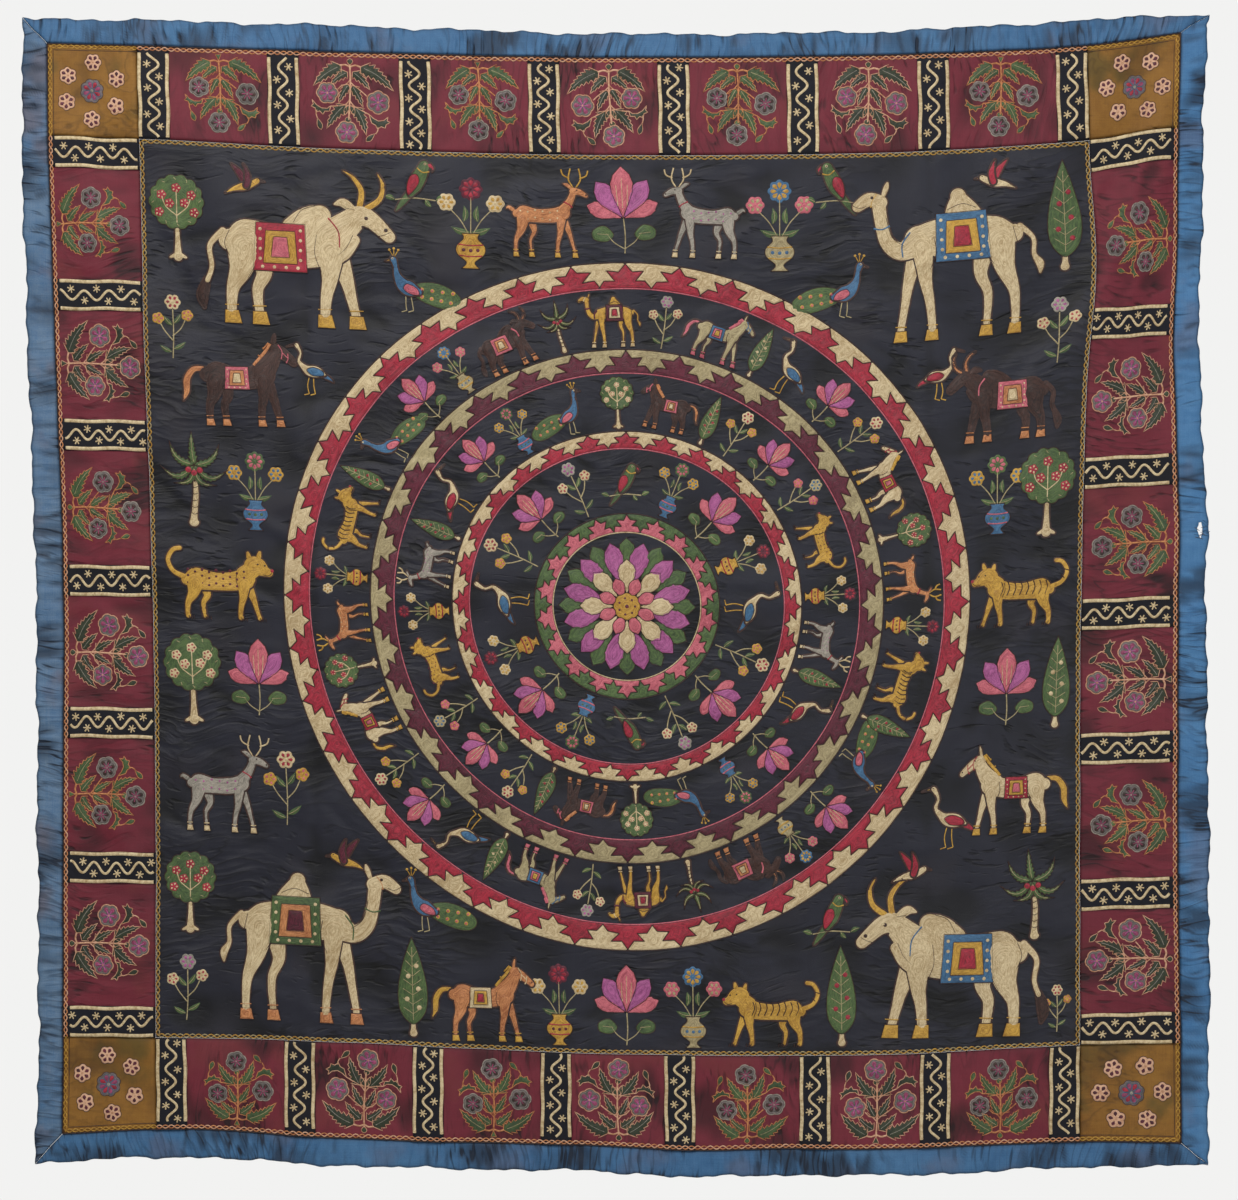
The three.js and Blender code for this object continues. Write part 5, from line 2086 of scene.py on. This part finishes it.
@motif(93, 68)
def vase(pen: Pen, hues: Palette) -> None:
    """A footed vase of flowers."""
    for x in (-1, 1):
        pen.leaf((0, 36), (x * 20, 42), 7, -x * 2)
        pen.leaf((x * 7, 46), (x * 7, 64), 6.5, x * 2)
    stems = [((x, 32), (x * 10, 48), (x * 21, 60)) for x in (-1, 1)]
    pen.marks(OLIVE, 0, 1.5, ((0, 32), (0, 72)), *stems)
    pen.blossom(0, 80, 12, 8, hues.cloth, hues.accent)
    pen.blossom(-24, 66, 9.5, 6, hues.trim, hues.body)
    pen.blossom(24, 66, 9.5, 6, hues.trim, hues.body)
    body = ((-9, 0), (-9, 0), (9, 0), (9, 0), (4, 6), (13, 14), (14, 22), (7, 30), (9, 35), (9, 35))
    pen.shape(hues.body, 1, body + ((-9, 35), (-9, 35), (-7, 30), (-14, 22), (-13, 14), (-4, 6)))
    pen.marks(hues.accent, 2, 1.7, ((-12, 24), (0, 23), (12, 24)), ((-11, 13), (0, 12), (11, 13)))
    pen.dots(hues.cloth, 2, 2.3, (-7, 18.5), (0, 18), (7, 18.5))


@motif(78, 66)
def lotus(pen: Pen, hues: Palette) -> None:
    """A lotus flower over two leaf pads."""
    pen.marks(OLIVE, 0, 1.7, ((0, 0), (1, 16), (0, 34)))
    for x in (-1, 1):
        pen.marks(OLIVE, 0, 1.4, ((0, 4), (x * 9, 10), (x * 15, 18)))
        pen.shape(GREEN, 0, ((x * 9, 17), (x * 17, 25), (x * 27, 21), (x * 26, 13), (x * 15, 11)))
        pen.marks(OLIVE, 1, 0.9, ((x * 13, 17), (x * 23, 18)))
    petals = [(x, 34, 15, hues.cloth, 0) for x in (68, -68)] + [(x, 40, 18, hues.body, 1) for x in (34, -34)]
    for lean, reach, width, thread, layer in (*petals, (0, 46, 20, hues.cloth, 2)):
        angle = radians(90 + lean)
        pen.needle.fill(pen.at.lay(drop(0, 31, angle, reach, width)), thread, layer)
    pen.marks(hues.accent, 3, 1.0, ((0, 40), (0, 66)), ((-4, 42), (-5, 60)), ((4, 42), (5, 60)))


@motif(88, 58)
def sprig(pen: Pen, hues: Palette) -> None:
    """An upright flowering sprig."""
    pen.marks(OLIVE, 0, 1.6, ((0, 0), (1, 30), (0, 66)), ((0, 24), (-10, 36), (-16, 46)))
    pen.marks(OLIVE, 0, 1.6, ((0, 30), (10, 40), (16, 52)))
    for x, y, tip in ((0, 8, (-18, 18)), (0, 12, (18, 24)), (0, 44, (-12, 58)), (0, 46, (11, 62))):
        pen.leaf((x, y), tip, 7, 1.5 if tip[0] < 0 else -1.5)
    pen.blossom(0, 76, 11, 6, hues.body, hues.cloth)
    pen.blossom(-19, 53, 8.5, 5, hues.trim, hues.accent)
    pen.blossom(19, 59, 8.5, 5, hues.trim, hues.accent)


@motif(100, 76)
def palm(pen: Pen, hues: Palette) -> None:
    """A palm with arching fronds and fruit."""
    pen.limbs(CREAM, 0, ((0, 62, 5), (2, 34, 6.5), (0, 8, 8), (0, 3, 12)))
    for y in range(12, 58, 7):
        pen.marks(BROWN, 1, 0.9, ((-2.5, y), (0.5, y - 1.5), (4, y)))
    fronds = (
        (-36, 60, 12), (36, 60, -12), (-26, 86, 7), (26, 86, -7), (-3, 98, 1), (-22, 42, 9), (24, 42, -9)
    )
    for x, y, bend in fronds:
        outline, rib = serrated((0, 62), (x, y), 10, bend, 6)
        pen.needle.fill(pen.at.lay(outline), hues.body, 1)
        pen.needle.line(pen.at.lay(rib), OLIVE, 0.9, 2)
    pen.dots(hues.cloth, 3, 3.2, (-6, 57), (6, 57), (0, 54))


CREAM_RED = Palette(CREAM, RED, YELLOW, ROSE)
CREAM_BLUE = Palette(CREAM, BLUE, YELLOW, RED)
CREAM_GREEN = Palette(CREAM, GREEN, ORANGE, MAROON)
BROWN_ROSE = Palette(BROWN, ROSE, ORANGE, CREAM)
YELLOW_MAROON = Palette(YELLOW, MAROON, CREAM, RED)
YELLOW_TIGER = Palette(YELLOW, BROWN, CREAM, RED)
ORANGE_CREAM = Palette(ORANGE, CREAM, YELLOW, RED)
PINK_CREAM = Palette(PINK, ROSE, CREAM, CREAM)
BLUE_GREEN = Palette(BLUE, GREEN, YELLOW, ROSE)
GREEN_RED = Palette(GREEN, RED, CREAM, YELLOW)
GREEN_CREAM = Palette(GREEN, CREAM, RED, YELLOW)
GREY_PINK = Palette(GREY, PINK, CREAM, RED)
OLIVE_BLUE = Palette(OLIVE, BLUE, ROSE, YELLOW)


class Spot(NamedTuple):
    """One motif of the open field: where its foot stands, its size, its colours and which way it looks."""

    motif: Motif
    u: float
    v: float
    size: float
    hues: Palette
    mirror: bool = False


SPOTS = (
    Spot(tree, -473, 264, 0.95, GREEN_RED),
    Spot(bull, -350, 330, 1.78, CREAM_RED),
    Spot(flier, -400, 186, 0.9, YELLOW_MAROON),
    Spot(parrot, -216, 196, 0.95, GREEN_RED),
    Spot(peacock, -222, 312, 0.8, BLUE_GREEN, True),
    Spot(vase, -156, 262, 1.1, YELLOW_MAROON),
    Spot(deer, -76, 246, 1.0, ORANGE_CREAM),
    Spot(lotus, 11, 242, 1.25, PINK_CREAM),
    Spot(deer, 98, 246, 1.0, GREY_PINK, True),
    Spot(vase, 178, 262, 1.1, OLIVE_BLUE),
    Spot(peacock, 246, 314, 0.8, BLUE_GREEN),
    Spot(parrot, 240, 196, 0.95, GREEN_RED, True),
    Spot(camel, 372, 338, 1.78, CREAM_BLUE, True),
    Spot(cypress, 480, 270, 1.25, GREEN_RED),
    Spot(flier, 412, 178, 0.9, CREAM_RED, True),
    Spot(sprig, -481, 374, 0.82, CREAM_RED),
    Spot(horse, -408, 444, 1.05, BROWN_ROSE),
    Spot(crane, -330, 408, 0.75, CREAM_BLUE, True),
    Spot(palm, -464, 556, 1.05, GREEN_RED),
    Spot(vase, -396, 560, 0.95, BLUE_GREEN),
    Spot(cat, -436, 660, 1.1, YELLOW_MAROON),
    Spot(tree, -468, 774, 1.0, GREEN_CREAM),
    Spot(lotus, -396, 764, 1.1, PINK_CREAM),
    Spot(deer, -440, 892, 1.1, GREY_PINK),
    Spot(sprig, -366, 884, 0.95, CREAM_RED),
    Spot(camel, -352, 1098, 1.78, CREAM_GREEN),
    Spot(tree, -474, 1004, 0.9, GREEN_RED),
    Spot(sprig, -478, 1102, 0.85, GREY_PINK),
    Spot(flier, -300, 928, 0.9, YELLOW_MAROON, True),
    Spot(cypress, -226, 1110, 1.15, GREEN_CREAM),
    Spot(peacock, -212, 996, 0.8, BLUE_GREEN, True),
    Spot(horse, -148, 1112, 0.95, ORANGE_CREAM),
    Spot(vase, -64, 1114, 0.98, YELLOW_MAROON),
    Spot(lotus, 10, 1112, 1.15, PINK_CREAM),
    Spot(vase, 84, 1114, 0.98, OLIVE_BLUE),
    Spot(cat, 168, 1112, 1.0, YELLOW_TIGER, True),
    Spot(cypress, 248, 1110, 1.15, GREEN_RED),
    Spot(parrot, 236, 996, 0.9, GREEN_RED),
    Spot(bull, 372, 1104, 1.78, CREAM_BLUE, True),
    Spot(palm, 462, 1002, 1.0, GREEN_RED),
    Spot(sprig, 486, 1106, 0.6, CREAM_RED),
    Spot(flier, 324, 932, 0.9, CREAM_RED),
    Spot(crane, 368, 900, 0.9, CREAM_RED, True),
    Spot(horse, 438, 886, 1.0, CREAM_RED, True),
    Spot(cypress, 484, 772, 1.05, GREEN_CREAM),
    Spot(lotus, 430, 768, 1.1, PINK_CREAM),
    Spot(cat, 442, 660, 1.0, YELLOW_TIGER, True),
    Spot(vase, 418, 558, 0.95, BLUE_GREEN),
    Spot(tree, 472, 562, 0.98, GREEN_RED),
    Spot(bull, 426, 454, 1.02, BROWN_ROSE, True),
    Spot(sprig, 478, 374, 0.85, GREY_PINK),
    Spot(crane, 350, 408, 0.75, CREAM_RED),
)


class Register(NamedTuple):
    """One round register between two bands: where its motifs stand and the motifs of its quarters."""

    inner: float
    height: float
    widest: float
    quarters: tuple[tuple[tuple[Motif, Palette], ...], ...]


REGISTERS = (
    Register(286, 60, 76, (
        ((sprig, CREAM_RED), (horse, CREAM_RED), (tree, GREEN_RED), (deer, ORANGE_CREAM),
         (vase, YELLOW_MAROON), (cat, YELLOW_TIGER), (cypress, GREEN_RED), (peacock, BLUE_GREEN)),
        ((vase, OLIVE_BLUE), (bull, BROWN_ROSE), (palm, GREEN_RED), (camel, YELLOW_MAROON),
         (sprig, GREY_PINK), (horse, OLIVE_BLUE), (cypress, GREEN_CREAM), (crane, CREAM_BLUE)),
    )),
    Register(196, 58, 66, (
        ((sprig, OLIVE_BLUE), (cat, YELLOW_MAROON), (vase, YELLOW_MAROON), (deer, GREY_PINK),
         (cypress, GREEN_RED), (crane, CREAM_RED)),
        ((vase, BLUE_GREEN), (peacock, BLUE_GREEN), (tree, GREEN_CREAM), (horse, BROWN_ROSE),
         (cypress, GREEN_RED), (sprig, CREAM_RED)),
    )),
    Register(106, 65, 56, (
        ((vase, YELLOW_MAROON), (crane, CREAM_BLUE), (sprig, CREAM_RED)),
        ((sprig, GREY_PINK), (parrot, GREEN_RED), (vase, BLUE_GREEN)),
    )),
)


@dataclass
class FieldPicture:
    """The plants and animals of the field, the round registers and the lotus at their middle."""

    needle: Needlework

    def _draw(self, each: Motif, at: Placing, hues: Palette) -> None:
        """Draws one motif."""
        each.draw(Pen(self.needle, at), hues)

    def _register(self, register: Register) -> None:
        """One register: a lotus on each diagonal, and a quarter's motifs evenly spaced between two."""
        middle = register.inner + register.height / 2
        for quarter in range(4):
            row = ((lotus, PINK_CREAM),) + register.quarters[quarter % len(register.quarters)]
            sizes = [min(register.height / each.height, register.widest / each.width) for each, _ in row]
            widths = [each.width * size for (each, _), size in zip(row, sizes)]
            gap = (pi / 2 * middle - sum(widths)) / len(row)
            along = -widths[0] / 2
            for i, (each, hues) in enumerate(row):
                angle = 45 + 90 * quarter + degrees((along + widths[i] / 2) / middle)
                along += widths[i] + gap
                low = register.inner + (register.height - sizes[i] * each.height) / 2
                turn = radians(angle)
                u = RING_CENTRE[0] + low * sin(turn)
                v = RING_CENTRE[1] - low * cos(turn)
                self._draw(each, Placing(u, v, sizes[i], -angle, (i + quarter) % 4 > 1), hues)

    def _rosette(self) -> None:
        """The lotus in the middle."""
        fill = self.needle.fill
        at = Placing(*RING_CENTRE)
        for ring, (count, start, reach, width, thread) in enumerate(
            (
                (12, 30, 46, 21, GREEN),
                (12, 22, 50, 22, PINK),
                (8, 14, 38, 20, CREAM),
                (8, 8, 25, 14, ROSE),
            )
        ):
            for k in range(count):
                angle = tau * (k + 0.5 * (ring % 2)) / count
                x, y = start * cos(angle), start * sin(angle)
                fill(at.lay(drop(x, y, angle, reach, width)), thread, ring)
        fill(at.lay(lobed(0, 0, 15, 8, 0.12)), YELLOW, 4)
        for k in range(7):
            angle = tau * k / 7
            fill(at.lay(circle(9 * cos(angle), 9 * sin(angle), 1.8)), MAROON, 5, None)
        fill(at.lay(circle(0, 0, 2.6)), MAROON, 5, None)

    def stitch(self) -> None:
        """Stitches the whole field."""
        rng = random.Random(29)
        for spot in SPOTS:
            turn = rng.uniform(-2.5, 2.5)
            self._draw(spot.motif, Placing(spot.u, spot.v, spot.size, turn, spot.mirror), spot.hues)
        for register in REGISTERS:
            self._register(register)
        self._rosette()


class Stage:
    """The floor, the lights and the camera."""

    floor_height: float = -1.95
    floor_radius: float = 1.5
    camera_distance: float = 3.4

    def set_up(self, wardrobe: Wardrobe) -> None:
        """Builds the floor, the world, the lights and the camera."""
        self._floor(wardrobe)
        self._world()
        self._light("key", (-0.8, -2.0, 1.6), 0.9, 44, (1.0, 0.98, 0.95))
        self._light("fill", (1.5, -2.6, -0.4), 2.2, 20, (0.95, 0.97, 1.0))
        self._light("back", (0.6, 2.6, 0.3), 2.0, 40, (1.0, 0.98, 0.95))
        self._camera()

    def _floor(self, wardrobe: Wardrobe) -> None:
        """A small pale round floor well below the cloth."""
        turn = np.linspace(0, tau, 64, endpoint=False)
        flat = np.full(64, self.floor_height)
        rim = np.stack((self.floor_radius * np.cos(turn), self.floor_radius * np.sin(turn), flat), 1)
        mesh = bpy.data.meshes.new("floor")
        mesh.from_pydata(rim.tolist(), [], [list(range(64))])
        mesh.materials.append(wardrobe.plain("floor", 0xDEDCD7, 0.7))
        add_object("floor", mesh)

    @staticmethod
    def _world() -> None:
        """An even off-white surround."""
        scene = bpy.context.scene
        world = bpy.data.worlds.new("surround")
        world.use_nodes = True
        net = Net(world.node_tree)
        seen = net.place("ShaderNodeLightPath", {}, "Is Camera Ray")
        surround = {"Color": to_linear(0xF2F2F1), "Strength": seen * 0.64 + 0.36}
        net.feed(net.tree.nodes["Background"], surround)
        scene.world = world
        scene.view_settings.view_transform = "Standard"

    @staticmethod
    def _light(
        name: str, place: tuple[float, ...], size: float, power: float, colour: tuple[float, ...]
    ) -> None:
        """A soft square light aimed at the middle of the cloth."""
        data = bpy.data.lights.new(name, "AREA")
        data.size, data.energy, data.color = size, power, colour
        lamp = add_object(name, data)
        lamp.location = place
        aim = Vector((0, 0, -0.63)) - Vector(place)
        lamp.rotation_euler = aim.to_track_quat("-Z", "Y").to_euler()

    def _camera(self) -> None:
        """The photograph's straight view, with its frame at the cloth's own scale."""
        data = bpy.data.cameras.new("camera")
        data.sensor_fit = "HORIZONTAL"
        data.sensor_width = 36.0
        data.lens = 36.0 * self.camera_distance / (PHOTO_WIDTH * MM_PER_PIXEL * MM)
        camera = add_object("camera", data)
        x = (PHOTO_WIDTH / 2 - PHOTO_MIDDLE[0]) * MM_PER_PIXEL * MM
        z = (PHOTO_MIDDLE[1] - PHOTO_HEIGHT / 2) * MM_PER_PIXEL * MM
        camera.location = (x, -self.camera_distance, z)
        camera.rotation_euler = (pi / 2, 0, 0)
        bpy.context.scene.camera = camera


@dataclass
class Grounds:
    """The cut pieces of cloth: field, bands, strips, corner squares and edging."""

    cloth: HungCloth
    wardrobe: Wardrobe
    field_cell: float = 4.15
    band_cell: float = 4.0
    strip_cell: float = 4.4
    edging_cell: float = 2.9

    def pieces(self) -> list[ClothPiece]:
        """The size and finish of every piece."""
        half = GAP / 2
        near, far = -FIELD_SIDE + half, FIELD_SIDE - half
        top, foot = FIELD_TOP + half, FIELD_FOOT - half
        made = [ClothPiece("field", near, far, top, foot, SATIN, self.field_cell)]
        for row in STRIP_ROWS:
            a = BAND_NEAR[row.side] + half
            b = a + BAND_WIDTH - GAP
            box = (near, far, a, b) if row.level else (a, b, top, foot)
            finish = MAROON_SILK if row.level else MAROON_UPRIGHT
            made.append(ClothPiece(f"band_{row.side}", *box, finish, self.band_cell))
        for name, *box in strip_boxes():
            made.append(
                ClothPiece(name, *box, NAVY_SILK, self.strip_cell, STRIP_THICKNESS, STRIP_LIFT, Edge.TURNED)
            )
        for across, u in (("left", -SEAM_SIDE), ("right", FIELD_SIDE)):
            for height, v in (("top", EDGING_WIDTH), ("bottom", FIELD_FOOT)):
                box = (u + half, u + BAND_WIDTH - half, v + half, v + BAND_WIDTH - half)
                made.append(ClothPiece(f"corner_{height}_{across}", *box, OCHRE_SILK, self.band_cell))
        inner = EDGING_WIDTH - half
        for side, box in {
            "top": (-OUTER_SIDE, OUTER_SIDE, 0, inner),
            "bottom": (-OUTER_SIDE, OUTER_SIDE, OUTER_FOOT - inner, OUTER_FOOT),
            "left": (-OUTER_SIDE, inner - OUTER_SIDE, 0, OUTER_FOOT),
            "right": (OUTER_SIDE - inner, OUTER_SIDE, 0, OUTER_FOOT),
        }.items():
            finish = {"left": FADED_UPRIGHT, "right": BLUE_UPRIGHT}.get(side, BLUE_SILK)
            tear = EDGING_TEAR if side == "right" else None
            how = (finish, self.edging_cell, EDGING_THICKNESS, 0, Edge.BOUND, side, tear)
            made.append(ClothPiece(f"edging_{side}", *box, *how))
        return made

    def build(self) -> list[bpy.types.Object]:
        """Makes every piece.

        Returns:
            The sheets in the order of their nodes.
        """
        made = []
        for piece in self.pieces():
            made.append(piece.build(self.cloth, self.wardrobe))
            LOG.info("%s: %d faces", made[-1].name, len(made[-1].data.polygons))
        return made


def main() -> None:
    """Builds the hanging and its stage."""
    logging.basicConfig(level=logging.INFO, format="%(name)s: %(message)s")
    wardrobe = Wardrobe()
    Stage().set_up(wardrobe)
    cloth = HungCloth()
    Grounds(cloth, wardrobe).build()
    needle = Needlework(cloth, wardrobe)
    FlowerPanels(needle).stitch()
    StripPatterns(needle).stitch()
    CornerFlowers(needle).stitch()
    Cables(needle).stitch()
    FrayedThreads(needle).stitch()
    StarRings(needle).stitch()
    FieldPicture(needle).stitch()
    needle.drape()


if __name__ == "__main__":
    main()
